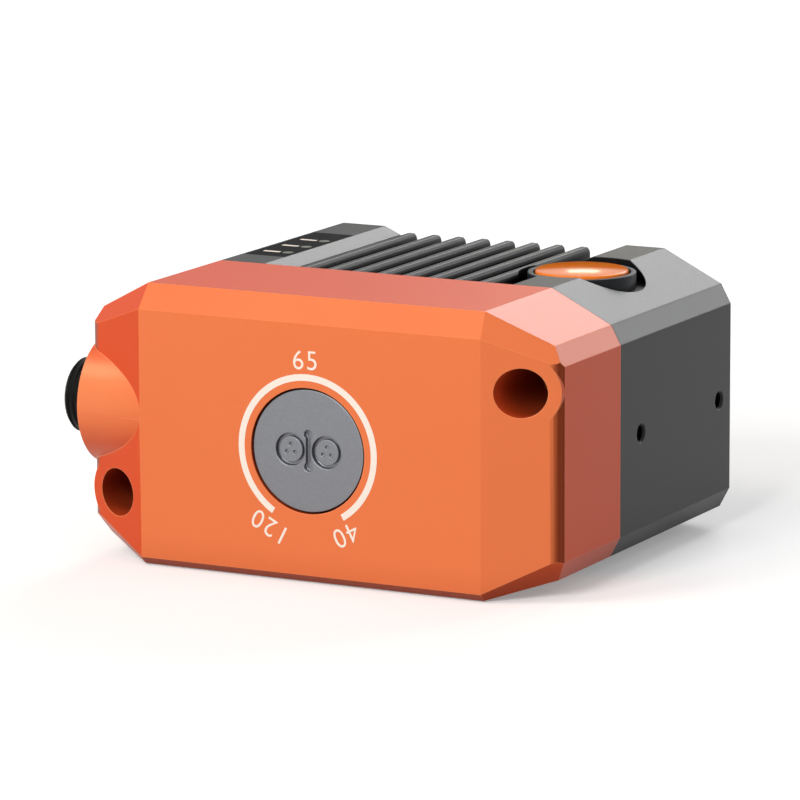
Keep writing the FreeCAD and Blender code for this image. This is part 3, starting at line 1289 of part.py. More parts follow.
# ---------------------------------------------------------------- build and export
front_cover()
main_housing()
cover_gasket()
cover_screws()
focus_dial()
dial_screws()
dial_shaft()
dial_seal()
dial_bush()
dial_clip()
focus_pinion()
lens_carrier()
lens_barrel()
lens("front_lens", "barrel_low + retainer_height + lens_edge + lens_sag", False)
lens("rear_lens", "barrel_low + barrel_length - retainer_height - lens_edge - lens_sag", True)
lens_retainers()
guide_rods()
optics_frame()
led_board()
illumination_leds()
led_board_screws()
sensor_board()
image_sensor()
sensor_glass()
sensor_spacers()
board_link()
processor_board()
board_posts()
board_screws()
processor_chip()
thermal_pad()
memory_chips()
indicator_leds()
light_pipes()
indicator_panel()
led_strap()
window_frame()
optical_window()
window_gasket()
window_screws()
trigger_button()
button_bezel()
button_seal()
button_spring()
tact_switch()
connector_shell()
connector_insert()
connector_pins()
connector_seal()
connector_board()
connector_plug()
connector_strap()

doc.recompute()
for thing in doc.Objects:
    if "Invalid" in thing.State or "Error" in thing.State:
        raise RuntimeError(f"{thing.Name} failed: {thing.State}")

# The frame's origin is the middle of the base of the whole box, connector included.
SHIFT = Vector(size("connector_reach") / 2, 0, 0)
os.makedirs("parts", exist_ok=True)
for thing in NODES:
    shape = thing.Shape.copy()
    if shape.isNull() or not shape.isValid():
        raise RuntimeError(f"{thing.Label} has no valid shape")
    shape.translate(SHIFT)
    shape.exportStep(f"parts/{thing.Label}.step")
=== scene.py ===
# Machine vision camera: an orange cast cover and a finned grey housing round the optics,
# with a focus dial in front, a trigger button and a status panel on top, and a round
# connector on the left. Every sub-part comes from the frame and gets its finish here.
import math
import bmesh
import bpy
from mathutils import Matrix, Vector


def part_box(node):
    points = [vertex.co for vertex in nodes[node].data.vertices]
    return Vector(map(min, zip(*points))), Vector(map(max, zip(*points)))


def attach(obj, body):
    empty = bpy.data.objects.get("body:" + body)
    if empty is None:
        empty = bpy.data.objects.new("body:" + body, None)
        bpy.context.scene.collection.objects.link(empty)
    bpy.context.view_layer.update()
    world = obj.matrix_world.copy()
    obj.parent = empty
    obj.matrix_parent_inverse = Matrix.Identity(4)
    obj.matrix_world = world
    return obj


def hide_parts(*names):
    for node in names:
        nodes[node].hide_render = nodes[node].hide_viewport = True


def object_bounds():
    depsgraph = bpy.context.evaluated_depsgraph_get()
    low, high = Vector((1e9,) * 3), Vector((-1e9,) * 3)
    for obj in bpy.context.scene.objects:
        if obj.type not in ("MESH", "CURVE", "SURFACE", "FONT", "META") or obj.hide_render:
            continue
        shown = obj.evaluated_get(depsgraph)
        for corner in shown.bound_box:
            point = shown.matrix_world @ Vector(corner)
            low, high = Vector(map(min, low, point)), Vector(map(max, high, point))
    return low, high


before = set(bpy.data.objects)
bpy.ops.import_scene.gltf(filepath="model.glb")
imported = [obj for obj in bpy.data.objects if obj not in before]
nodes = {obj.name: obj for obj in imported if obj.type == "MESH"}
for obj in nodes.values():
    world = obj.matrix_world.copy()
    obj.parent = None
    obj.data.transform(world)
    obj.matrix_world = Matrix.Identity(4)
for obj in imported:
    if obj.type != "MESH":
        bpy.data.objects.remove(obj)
cad_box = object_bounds()


# ---------------------------------------------------------------- front cover
# The real piece is die-cast aluminium, milled on its faces, blasted and then coated with a
# satin orange polyester powder. The coat is smooth with a very fine grain, and it thins to
# a slightly paler line on the sharp edges.
def srgb(code):
    """An sRGB hex colour as the linear colour that a shader takes."""
    parts = [int(code[i:i + 2], 16) / 255 for i in (1, 3, 5)]
    linear = [c / 12.92 if c <= 0.04045 else ((c + 0.055) / 1.055) ** 2.4 for c in parts]
    return (*linear, 1.0)


def add(tree, kind, inputs, **settings):
    """Adds a shader node: its settings, then a value or a link for each named input."""
    new = tree.nodes.new(kind)
    for name, value in settings.items():
        setattr(new, name, value)
    for name, value in inputs.items():
        if isinstance(value, bpy.types.NodeSocket):
            tree.links.new(value, new.inputs[name])
        else:
            new.inputs[name].default_value = value
    return new


def noise(tree, place, scale, detail):
    """An uneven pattern from 0 to 1; the scale is about its patches in a metre."""
    return add(tree, "ShaderNodeTexNoise", {"Vector": place, "Scale": scale,
                                            "Detail": detail}).outputs["Fac"]


def blend(tree, share, first, second):
    """The first colour where the share is 0, the second where it is 1."""
    first, second = (srgb(colour) if isinstance(colour, str) else colour
                     for colour in (first, second))
    return add(tree, "ShaderNodeMix", {0: share, 6: first, 7: second},
               data_type="RGBA").outputs[2]


def surface(tree, inputs):
    """Gives a material its surface: a principled shader with these inputs."""
    shader = add(tree, "ShaderNodeBsdfPrincipled", inputs)
    add(tree, "ShaderNodeOutputMaterial", {"Surface": shader.outputs["BSDF"]})


def thin_edges(tree, grain, radius, grain_height, sharpest, most):
    """The normal of a grained coat with rounded edges, and the share of edge at a point."""
    rounded = add(tree, "ShaderNodeBevel", {"Radius": radius}, samples=6)
    relief = add(tree, "ShaderNodeBump", {"Height": grain, "Strength": grain_height,
                                          "Distance": GRAIN_DEPTH,
                                          "Normal": rounded.outputs["Normal"]})
    flat = add(tree, "ShaderNodeNewGeometry", {}).outputs["True Normal"]
    turned = add(tree, "ShaderNodeVectorMath", {0: rounded.outputs["Normal"], 1: flat},
                 operation="DOT_PRODUCT")
    edge = add(tree, "ShaderNodeMapRange", {"Value": turned.outputs["Value"],
                                            "From Min": EDGE_BEGINS, "From Max": sharpest,
                                            "To Max": most})
    return relief.outputs["Normal"], edge.outputs["Result"]


def new_finish(name):
    """An empty material, its node tree and the object coordinates that its patterns read."""
    material = bpy.data.materials.new(name)
    material.use_nodes = True
    tree = material.node_tree
    tree.nodes.clear()
    place = add(tree, "ShaderNodeTexCoord", {}).outputs["Object"]
    return material, tree, place


def coat_nodes(material, *names):
    """Gives a finish to frame nodes through their own material slots."""
    for name in names:
        for holder in nodes[name].material_slots:
            holder.material = material


ORANGE = "#ee7c4b"
ORANGE_ASLANT = "#de4f24"
ORANGE_EDGE = "#fb9562"
ORANGE_PAINTED_SHADE = "#9c3c1c"
ORANGE_PAINTED_CORNER_SHADE = "#7c2c12"
EDGE_ROUND = 0.00025
GRAIN_DEPTH = 0.00002
EDGE_BEGINS = 0.999
COAT_ROUGH = (0.3, 0.4)
COAT_SHINE = 0.24
BOSS_SHINE = 0.9
BOSS_SMOOTHER = -0.04
BOSS_REACH = 0.0105
BOSS_RIM = 0.0002
BOSS_START = -0.034
BOSS_BLEND = 0.007

orange_powder, tree, place = new_finish("orange_powder_coat")
patches = noise(tree, place, 60.0, 2.0)
slant = add(tree, "ShaderNodeLayerWeight", {"Blend": 0.5})
uneven = add(tree, "ShaderNodeMath", {0: patches, 1: 0.06,
                                      2: slant.outputs["Facing"]}, operation="MULTIPLY_ADD")
flop = add(tree, "ShaderNodeMapRange", {"Value": uneven.outputs[0], "From Min": 0.18,
                                        "From Max": 0.42})
flake = blend(tree, flop.outputs["Result"], ORANGE, ORANGE_ASLANT)
# Painted shade: ambient occlusion darkens the orange to a deep red-brown in holes and
# recesses.
shade_occlusion = add(tree, "ShaderNodeAmbientOcclusion", {"Distance": 0.012}, samples=8)
unshaded_share = add(tree, "ShaderNodeMapRange", {"Value": shade_occlusion.outputs["AO"],
                                              "From Min": 0.15, "From Max": 0.65})
body_colour = blend(tree, unshaded_share.outputs["Result"], ORANGE_PAINTED_SHADE, flake)
# Painted shade: a dark band on the front corner rounding that faces sideways, picked out by
# the direction of the face's normal.
turn_of_face = add(tree, "ShaderNodeSeparateXYZ", {
    "Vector": add(tree, "ShaderNodeTexCoord", {}).outputs["Normal"]})
sideways = add(tree, "ShaderNodeMath", {0: turn_of_face.outputs["X"]}, operation="ABSOLUTE")
tilted = add(tree, "ShaderNodeMath", {0: turn_of_face.outputs["Z"]}, operation="ABSOLUTE")
into_corner = add(tree, "ShaderNodeMapRange", {"Value": sideways.outputs[0],
                                               "From Min": 0.42, "From Max": 0.72})
to_front = add(tree, "ShaderNodeMapRange", {"Value": turn_of_face.outputs["Y"],
                                            "From Min": -0.2, "From Max": -0.3})
upright = add(tree, "ShaderNodeMapRange", {"Value": tilted.outputs[0], "From Min": 0.3,
                                           "From Max": 0.1})
front_share = add(tree, "ShaderNodeMath", {0: into_corner.outputs["Result"],
                                           1: to_front.outputs["Result"]},
                  operation="MULTIPLY")
corner_shade_share = add(tree, "ShaderNodeMath", {0: front_share.outputs[0],
                                            1: upright.outputs["Result"]},
                   operation="MULTIPLY")
body_colour = blend(tree, corner_shade_share.outputs[0], body_colour, ORANGE_PAINTED_CORNER_SHADE)
grain = noise(tree, place, 2200.0, 3.0)
relief, edge = thin_edges(tree, grain, 0.0002, 0.12, 0.93, 1.0)
worn = blend(tree, edge, body_colour, ORANGE_EDGE)
rough = add(tree, "ShaderNodeMapRange", {"Value": grain, "To Min": COAT_ROUGH[0],
                                         "To Max": COAT_ROUGH[1]})
thread_low, thread_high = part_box("connector_shell")
boss_axis = (thread_low + thread_high) / 2
from_axis = add(tree, "ShaderNodeVectorMath", {
    0: add(tree, "ShaderNodeVectorMath", {0: place, 1: (0.0, 1.0, 1.0)},
           operation="MULTIPLY").outputs["Vector"],
    1: (0.0, boss_axis.y, boss_axis.z)}, operation="DISTANCE")
within = add(tree, "ShaderNodeMapRange", {"Value": from_axis.outputs["Value"],
                                          "From Min": BOSS_REACH + BOSS_RIM,
                                          "From Max": BOSS_REACH + BOSS_RIM / 4})
outward = add(tree, "ShaderNodeSeparateXYZ", {"Vector": place})
far_left = add(tree, "ShaderNodeMapRange", {"Value": outward.outputs["X"],
                                            "From Min": BOSS_START + BOSS_BLEND,
                                            "From Max": BOSS_START})
on_turned = add(tree, "ShaderNodeMath", {0: within.outputs["Result"],
                                         1: far_left.outputs["Result"]},
                operation="MULTIPLY")
shine = add(tree, "ShaderNodeMapRange", {"Value": on_turned.outputs[0], "To Min": COAT_SHINE,
                                         "To Max": BOSS_SHINE})
smoother = add(tree, "ShaderNodeMath", {0: on_turned.outputs[0], 1: BOSS_SMOOTHER,
                                        2: rough.outputs["Result"]},
               operation="MULTIPLY_ADD")
surface(tree, {"Base Color": worn, "Roughness": smoother.outputs[0], "IOR": 1.5,
               "Specular IOR Level": shine.outputs["Result"], "Specular Tint": srgb("#ffd9a8"),
               "Normal": relief})
coat_nodes(orange_powder, "front_cover")


WELD = 0.000001
FLAT_ENOUGH = math.radians(0.3)
SMOOTH_ANGLE = math.radians(22)
BREAK_ANGLE = math.radians(24)
CREASE_ANGLE = math.radians(3)
BIG_FACE = 0.00004


def mesh_from(name, shape):
    """Turns a bmesh into a mesh and frees it."""
    mesh = bpy.data.meshes.new(name)
    shape.to_mesh(mesh)
    shape.free()
    return mesh


def in_scene(name, data):
    """A new object in the scene that holds the data."""
    thing = bpy.data.objects.new(name, data)
    bpy.context.scene.collection.objects.link(thing)
    return thing


def rounded_copy(name, node, body, width, nudge=None, left_sharp=None):
    """A copy of a frame node whose sharp edges are broken, as deburring leaves them.

    Gentle bends are shaded smooth, but not beside a large flat face, which stays flat.
    """
    source = nodes[node]
    shape = bmesh.new()
    shape.from_mesh(source.data)
    bmesh.ops.transform(shape, matrix=source.matrix_world, verts=shape.verts)
    bmesh.ops.remove_doubles(shape, verts=shape.verts, dist=WELD)
    if nudge is not None:
        for vertex in shape.verts:
            vertex.co = nudge(vertex.co)
    bmesh.ops.dissolve_limit(shape, angle_limit=FLAT_ENOUGH, verts=shape.verts,
                             edges=shape.edges)
    broken = shape.edges.layers.float.new("bevel_weight_edge")
    for face in shape.faces:
        face.smooth = True
    for edge in shape.edges:
        if len(edge.link_faces) != 2:
            continue
        bend = edge.calc_face_angle(0)
        small, large = sorted(face.calc_area() for face in edge.link_faces)
        beside_big_face = large > BIG_FACE and large > 4 * small
        edge.smooth = bend < (CREASE_ANGLE if beside_big_face else SMOOTH_ANGLE)
        middle = (edge.verts[0].co + edge.verts[1].co) / 2
        if bend > BREAK_ANGLE and not (left_sharp and left_sharp(middle)):
            edge[broken] = 1.0
    mesh = mesh_from(name, shape)
    mesh.materials.append(source.material_slots[0].material)
    piece = in_scene(name, mesh)
    edges = piece.modifiers.new("broken_edges", "BEVEL")
    edges.width = width
    edges.segments = 2
    edges.limit_method = "WEIGHT"
    edges.use_clamp_overlap = True
    flat_faces = piece.modifiers.new("flat_faces", "WEIGHTED_NORMAL")
    flat_faces.keep_sharp = True
    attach(piece, body)
    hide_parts(node)
    return piece


PRINT_FILM = 0.00002
ON_FACE = 0.000005
SIDE_SHAVE = 0.99997

front_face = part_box("front_cover")[0].y


def under_print(point):
    """Sinks the front face by the thickness of the print, and keeps the sides inside."""
    if point.y < front_face + ON_FACE:
        point.y = front_face + PRINT_FILM
    return Vector((point.x * SIDE_SHAVE, point.y, point.z))


def inside_sides(point):
    """Keeps the sides of the housing just inside their true places."""
    return Vector((point.x * SIDE_SHAVE, point.y, point.z))


def on_boss(point):
    """True on the round boss, whose rim runs out into the front face."""
    reach = math.hypot(point.y - boss_axis.y, point.z - boss_axis.z)
    return point.x < 0 and abs(reach - BOSS_REACH) < BOSS_RIM


rounded_copy("coated_front_cover", "front_cover", "camera", EDGE_ROUND,
             under_print, on_boss)

# ---------------------------------------------------------------- printed focus scale
# A white ring segment round the dial with three plain distance numbers, pad-printed on the
# orange coat with a thin film of ink. The tops of the numbers point away from the dial.
SCALE_RADIUS = 0.01166
SCALE_STROKE = 0.00105
SCALE_GAP = math.radians(31.3)
NUMBER_RADIUS = 0.0142
NUMBER_HEIGHT = 0.00305
DIGIT_SHARE = 0.70
DIGIT_THINNER = -0.00002
DIGIT_SPACING = 1.12
NUMBER_TURN = math.radians(27.8)
TOP_NUMBER_SHIFT = -0.02

dial_low, dial_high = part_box("focus_dial")
dial_middle = (dial_low + dial_high) / 2
dial_centre = Vector((dial_middle.x, front_face + PRINT_FILM, dial_middle.z))

white_ink, tree, place = new_finish("white_pad_printing_ink")
thin_spots = noise(tree, place, 3000.0, 2.0)
ink_colour = blend(tree, thin_spots, "#fdf3e8", "#f7e4d3")
surface(tree, {"Base Color": ink_colour, "Roughness": 0.5, "IOR": 1.5})


def new_piece(name, shape, material, body):
    """A finished piece from a bmesh: its mesh is in place and its object at the origin."""
    bmesh.ops.recalc_face_normals(shape, faces=shape.faces)
    mesh = mesh_from(name, shape)
    mesh.materials.append(material)
    piece = in_scene(name, mesh)
    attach(piece, body)
    return piece


ring = bmesh.new()
start = Vector((math.sin(SCALE_GAP), 0, -math.cos(SCALE_GAP)))
stroke = [ring.verts.new(dial_centre + start * (SCALE_RADIUS + side * SCALE_STROKE / 2))
          for side in (-1, 1)]
stroke_edge = ring.edges.new(stroke)
bmesh.ops.spin(ring, geom=[stroke_edge, *stroke], cent=dial_centre, axis=(0, -1, 0),
               angle=math.tau - 2 * SCALE_GAP, steps=120)
bmesh.ops.solidify(ring, geom=ring.faces, thickness=-PRINT_FILM)
new_piece("focus_scale_ring", ring, white_ink, "camera")


def printed_number(words, outward):
    """A printed number whose middle lies outward from the dial, its top facing outward."""
    letters = bpy.data.curves.new("scale_" + words, "FONT")
    letters.body = words
    letters.size = NUMBER_HEIGHT / DIGIT_SHARE
    letters.align_x = "CENTER"
    letters.align_y = "CENTER"
    letters.offset = DIGIT_THINNER
    letters.space_character = DIGIT_SPACING
    letters.extrude = PRINT_FILM / 2
    holder = in_scene("scale_letters", letters)
    bpy.context.view_layer.update()
    flat = bpy.data.meshes.new_from_object(holder)
    bpy.data.objects.remove(holder)
    shape = bmesh.new()
    shape.from_mesh(flat)
    bpy.data.meshes.remove(flat)
    bmesh.ops.remove_doubles(shape, verts=shape.verts, dist=1e-7)
    across = Vector((outward.z, 0, -outward.x))
    facing = Vector((0, -1, 0))
    turn = Matrix((across, outward, facing)).transposed().to_4x4()
    middle = dial_centre + outward * NUMBER_RADIUS + facing * (PRINT_FILM / 2)
    bmesh.ops.transform(shape, matrix=Matrix.Translation(middle) @ turn, verts=shape.verts)
    return new_piece("scale_number_" + words, shape, white_ink, "camera")


printed_number("65", Vector((TOP_NUMBER_SHIFT, 0, 1)).normalized())
printed_number("120", Vector((-math.sin(NUMBER_TURN), 0, -math.cos(NUMBER_TURN))))
printed_number("40", Vector((math.sin(NUMBER_TURN), 0, -math.cos(NUMBER_TURN))))

# ---------------------------------------------------------------- main housing
# Extruded and milled aluminium with the same fine powder coat in satin graphite grey. The
# milled fin tops and facet edges show a thin pale line where the coat is drawn thin.
GRAPHITE = "#282929"
GRAPHITE_PATCH = "#232425"
GRAPHITE_EDGE = "#626466"
GRAPHITE_PAINTED_SHADE = "#0b0b0c"

graphite_powder, tree, place = new_finish("graphite_powder_coat")
patches = noise(tree, place, 70.0, 2.0)
body_colour = blend(tree, patches, GRAPHITE, GRAPHITE_PATCH)
# Painted shade: ambient occlusion darkens the grey to near black in fin gaps and recesses, and
# lowers the coat's specular level there.
shade_occlusion = add(tree, "ShaderNodeAmbientOcclusion", {"Distance": 0.006}, samples=8)
unshaded_share = add(tree, "ShaderNodeMapRange", {"Value": shade_occlusion.outputs["AO"],
                                              "From Min": 0.25, "From Max": 0.95})
sheen = add(tree, "ShaderNodeMapRange", {"Value": unshaded_share.outputs["Result"],
                                         "To Min": 0.0, "To Max": 0.155})
body_colour = blend(tree, unshaded_share.outputs["Result"], GRAPHITE_PAINTED_SHADE,
                          body_colour)
grain = noise(tree, place, 2400.0, 3.0)
relief, edge = thin_edges(tree, grain, 0.00025, 0.15, 0.9, 0.6)
worn = blend(tree, edge, body_colour, GRAPHITE_EDGE)
rough = add(tree, "ShaderNodeMapRange", {"Value": grain, "To Min": COAT_ROUGH[0],
                                         "To Max": COAT_ROUGH[1]})
surface(tree, {"Base Color": worn, "Roughness": rough.outputs["Result"], "IOR": 1.5,
               "Specular IOR Level": sheen.outputs["Result"],
               "Normal": relief})
coat_nodes(graphite_powder, "main_housing")
rounded_copy("coated_main_housing", "main_housing", "camera", EDGE_ROUND,
             inside_sides)

# ---------------------------------------------------------------- seals
# Nitrile rubber rings and cords, moulded and left matt. A fine bloom makes them look a
# little uneven.
nitrile, tree, place = new_finish("matt_nitrile_rubber")
bloom = noise(tree, place, 1500.0, 4.0)
shade = blend(tree, bloom, "#141414", "#232323")
relief = add(tree, "ShaderNodeBump", {"Height": bloom, "Strength": 0.3,
                                      "Distance": 0.00003})
surface(tree, {"Base Color": shade, "Roughness": 0.8, "IOR": 1.52,
               "Normal": relief.outputs["Normal"]})
coat_nodes(nitrile, "cover_gasket", "dial_seal", "window_gasket", "button_seal",
           "connector_seal")

# ---------------------------------------------------------------- focus dial
# Turned from aluminium bar, blasted and clear anodised: a satin grey face with faint
# concentric tool marks. Two steel screws with three blind holes, blasted with the face,
# hold it on its shaft.
TOOL_MARK = 0.0003
WAVE = math.tau / 20
POCKET_OFFSET = 0.0035
POCKET_SHIFT = 0.00032
POCKET_REACH = 0.0026
POCKET_GROWTH = 1.05

satin_aluminium, tree, place = new_finish("satin_anodised_aluminium")
centred = add(tree, "ShaderNodeMapping", {"Vector": place, "Location": -dial_middle})
marks = add(tree, "ShaderNodeTexWave", {"Vector": centred.outputs["Vector"],
                                        "Scale": WAVE / TOOL_MARK,
                                        "Distortion": 0.4, "Detail": 1.0},
            wave_type="RINGS", rings_direction="Y")
grit = noise(tree, place, 2500.0, 3.0)
shade = blend(tree, grit, "#84868b", "#76787c")
rounded = add(tree, "ShaderNodeBevel", {"Radius": 0.00025}, samples=6)
marked = add(tree, "ShaderNodeBump", {"Height": marks.outputs["Fac"], "Strength": 0.05,
                                      "Distance": 0.00001,
                                      "Normal": rounded.outputs["Normal"]})
relief = add(tree, "ShaderNodeBump", {"Height": grit, "Strength": 0.15,
                                      "Distance": 0.00001,
                                      "Normal": marked.outputs["Normal"]})
surface(tree, {"Base Color": shade, "Metallic": 1.0, "Roughness": 0.42,
               "Normal": relief.outputs["Normal"]})
coat_nodes(satin_aluminium, "focus_dial", "dial_screws")


def open_pocket(point):
    """Moves a screw pocket towards the slot and widens it; the rest of the dial stays."""
    side = math.copysign(1, point.x - dial_middle.x)
    middle = Vector((dial_middle.x + side * POCKET_OFFSET, point.y, dial_middle.z))
    if (point - middle).length > POCKET_REACH:
        return point
    return middle + (point - middle) * POCKET_GROWTH - Vector((side * POCKET_SHIFT, 0, 0))


rounded_copy("turned_focus_dial", "focus_dial", "focus_dial", 0.00007,
             open_pocket)
rounded_copy("seated_dial_screws", "dial_screws", "focus_dial", 0.00004,
             open_pocket)

# ---------------------------------------------------------------- bright steel parts
# Stainless screws, clip, rods, spring and shaft, turned or rolled and left bright. Fine
# scratches spread their highlights.
bright_steel, tree, place = new_finish("bright_stainless_steel")
scratches = noise(tree, place, 4000.0, 2.0)
gloss = add(tree, "ShaderNodeMapRange", {"Value": scratches, "To Min": 0.2,
                                         "To Max": 0.34})
rounded = add(tree, "ShaderNodeBevel", {"Radius": 0.00012}, samples=4)
surface(tree, {"Base Color": srgb("#c3c3c2"), "Metallic": 1.0,
               "Roughness": gloss.outputs["Result"], "Normal": rounded.outputs["Normal"]})
coat_nodes(bright_steel, "dial_shaft", "dial_clip", "guide_rods",
           "led_board_screws", "board_screws", "button_spring")

# ---------------------------------------------------------------- brass parts
# Free-cutting brass, turned and left as cut: the shaft bush, the pinion, the threaded
# posts and the sensor spacers.
brass, tree, place = new_finish("turned_brass")
tarnish = noise(tree, place, 700.0, 3.0)
shade = blend(tree, tarnish, "#d9b667", "#c39a4b")
surface(tree, {"Base Color": shade, "Metallic": 1.0, "Roughness": 0.3})
coat_nodes(brass, "dial_bush", "focus_pinion", "board_posts", "sensor_spacers")

# ---------------------------------------------------------------- black anodised parts
# Turned or milled aluminium with a black anodised skin that kills stray light: the lens
# barrel and its carrier, the optics bridge, the window frame and the button's ring.
black_anodised, tree, place = new_finish("black_anodised_aluminium")
pores = noise(tree, place, 2600.0, 3.0)
shade = blend(tree, pores, "#15171a", "#1f2226")
rounded = add(tree, "ShaderNodeBevel", {"Radius": 0.00015}, samples=4)
relief = add(tree, "ShaderNodeBump", {"Height": pores, "Strength": 0.12,
                                      "Distance": 0.00001,
                                      "Normal": rounded.outputs["Normal"]})
surface(tree, {"Base Color": shade, "Roughness": 0.4, "IOR": 1.5, "Specular IOR Level": 0.15,
               "Normal": relief.outputs["Normal"]})
coat_nodes(black_anodised, "lens_carrier", "lens_barrel", "lens_retainers", "optics_frame",
           "window_frame", "button_bezel")

# ---------------------------------------------------------------- lenses
# Ground and polished optical glass with a vapour-deposited coating that leaves a faint
# violet sheen. Threaded rings hold the lenses, and the cover glass is glued.
lens_glass, tree, place = new_finish("coated_optical_glass")
streaks = noise(tree, place, 90.0, 1.0)
tint = blend(tree, streaks, "#e8e4f6", "#dff0ee")
surface(tree, {"Base Color": tint, "Roughness": 0.02, "IOR": 1.52, "Transmission Weight": 1.0,
               "Coat Weight": 0.4, "Coat Tint": srgb("#b39be8")})
coat_nodes(lens_glass, "front_lens", "rear_lens", "sensor_glass")

# ---------------------------------------------------------------- circuit boards
# Glass-epoxy laminate under a satin green solder mask. Copper tracks lift the mask a
# little and make paler lines, about half a millimetre wide.
TRACK_PITCH = 0.0012

laminate, tree, place = new_finish("green_solder_mask")
tracks = add(tree, "ShaderNodeTexVoronoi", {"Vector": place, "Scale": 1 / TRACK_PITCH,
                                            "Randomness": 0.35},
             distance="MANHATTAN", feature="DISTANCE_TO_EDGE")
lines = add(tree, "ShaderNodeMapRange", {"Value": tracks.outputs["Distance"],
                                         "From Min": 0.08, "From Max": 0.12})
shade = blend(tree, lines.outputs["Result"], "#2f8a57", "#14532f")
relief = add(tree, "ShaderNodeBump", {"Height": lines.outputs["Result"], "Strength": 0.4,
                                      "Distance": 0.00003}, invert=True)
surface(tree, {"Base Color": shade, "Roughness": 0.35, "IOR": 1.55,
               "Normal": relief.outputs["Normal"]})
coat_nodes(laminate, "led_board", "sensor_board", "processor_board", "connector_board")

# ---------------------------------------------------------------- lamps
# White moulded lamp packages, soldered to their boards, with a pale yellow phosphor gel
# in the middle.
lamp_body, tree, place = new_finish("white_lamp_package")
gel = add(tree, "ShaderNodeTexVoronoi", {"Vector": place, "Scale": 330.0, "Randomness": 0.0})
window = add(tree, "ShaderNodeMapRange", {"Value": gel.outputs["Distance"],
                                          "From Min": 0.42, "From Max": 0.5})
shade = blend(tree, window.outputs["Result"], "#f2dd7a", "#efece2")
surface(tree, {"Base Color": shade, "Roughness": 0.4, "IOR": 1.5})
coat_nodes(lamp_body, "illumination_leds", "indicator_leds")

# ---------------------------------------------------------------- chips and black plastic
# Glass-filled epoxy and nylon mouldings with a fine spark-eroded texture: chips, plugs,
# the switch and the connector's insert.
black_moulding, tree, place = new_finish("black_glass_filled_moulding")
texture = noise(tree, place, 3500.0, 4.0)
shade = blend(tree, texture, "#191919", "#262626")
relief = add(tree, "ShaderNodeBump", {"Height": texture, "Strength": 0.3,
                                      "Distance": 0.00001})
surface(tree, {"Base Color": shade, "Roughness": 0.55, "IOR": 1.5,
               "Normal": relief.outputs["Normal"]})
coat_nodes(black_moulding, "processor_chip", "memory_chips", "tact_switch", "board_link",
           "connector_plug", "connector_insert")

# ---------------------------------------------------------------- image sensor
# Fired ceramic package, dark and matt, soldered to its board under a thin cover glass.
# Fine specks break up its colour.
ceramic, tree, place = new_finish("fired_dark_ceramic")
specks = noise(tree, place, 5000.0, 2.0)
shade = blend(tree, specks, "#38323a", "#4a444e")
surface(tree, {"Base Color": shade, "Roughness": 0.5, "IOR": 1.7})
coat_nodes(ceramic, "image_sensor")

# ---------------------------------------------------------------- thermal pad
# Soft silicone filled with ceramic powder, cut from sheet and pressed on the chip, whose
# heat it carries to the roof. The filler makes its grey a little uneven.
thermal_silicone, tree, place = new_finish("grey_filled_silicone")
filler = noise(tree, place, 4000.0, 3.0)
shade = blend(tree, filler, "#9aa0a8", "#b4bac0")
surface(tree, {"Base Color": shade, "Roughness": 0.75, "IOR": 1.41})
coat_nodes(thermal_silicone, "thermal_pad")

# ---------------------------------------------------------------- flexible straps
# Polyimide film, amber and smooth, laminated over fine copper lines that show through.
# Plugs clamp its ends.
CONDUCTOR_PITCH = 0.001

polyimide, tree, place = new_finish("amber_polyimide_film")
conductors = add(tree, "ShaderNodeTexWave", {"Vector": place, "Scale": WAVE / CONDUCTOR_PITCH},
                 bands_direction="X")
shade = blend(tree, conductors.outputs["Fac"], "#c9761c", "#a3560f")
surface(tree, {"Base Color": shade, "Roughness": 0.25, "IOR": 1.7})
coat_nodes(polyimide, "led_strap", "connector_strap")

# ---------------------------------------------------------------- status panel
# A black polycarbonate label, lightly textured and glued flush into its recess. Three
# acrylic light pipes end under small printed windows, each beside a plain white bar.
LAMP_WINDOW = 0.0018
BAR_LENGTH = 0.003
BAR_WIDTH = 0.0008
BAR_OFFSET = 0.0029

gloss_black, tree, place = new_finish("gloss_black_polycarbonate")
smears = noise(tree, place, 400.0, 2.0)
gloss = add(tree, "ShaderNodeMapRange", {"Value": smears, "To Min": 0.4,
                                         "To Max": 0.5})
surface(tree, {"Base Color": srgb("#070708"), "Roughness": gloss.outputs["Result"], "IOR": 1.5,
               "Specular IOR Level": 0.015})
coat_nodes(gloss_black, "indicator_panel")

acrylic, tree, place = new_finish("clear_moulded_acrylic")
flow = noise(tree, place, 300.0, 1.0)
tint = blend(tree, flow, "#eef2ee", "#dfe8e2")
surface(tree, {"Base Color": tint, "Roughness": 0.08, "IOR": 1.49, "Transmission Weight": 0.9})
coat_nodes(acrylic, "light_pipes")

lamp_window, tree, place = new_finish("diffusing_lamp_window")
haze = noise(tree, place, 2500.0, 2.0)
shade = blend(tree, haze, "#4d503c", "#5f6350")
surface(tree, {"Base Color": shade, "Roughness": 0.3, "IOR": 1.58, "Subsurface Weight": 0.3,
               "Subsurface Scale": 0.0005})

pipe_low, pipe_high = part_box("light_pipes")
panel_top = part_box("indicator_panel")[1].z
pipe_x = (pipe_low.x + pipe_high.x) / 2
pipe_radius = (pipe_high.x - pipe_low.x) / 2
first_pipe = pipe_low.y + pipe_radius
pipe_step = (pipe_high.y - pipe_low.y - 2 * pipe_radius) / 2


def under_marks(point):
    """Sinks the top of the label by the thickness of its printed marks."""
    if point.z > panel_top - ON_FACE:
        point.z = panel_top - PRINT_FILM
    return point


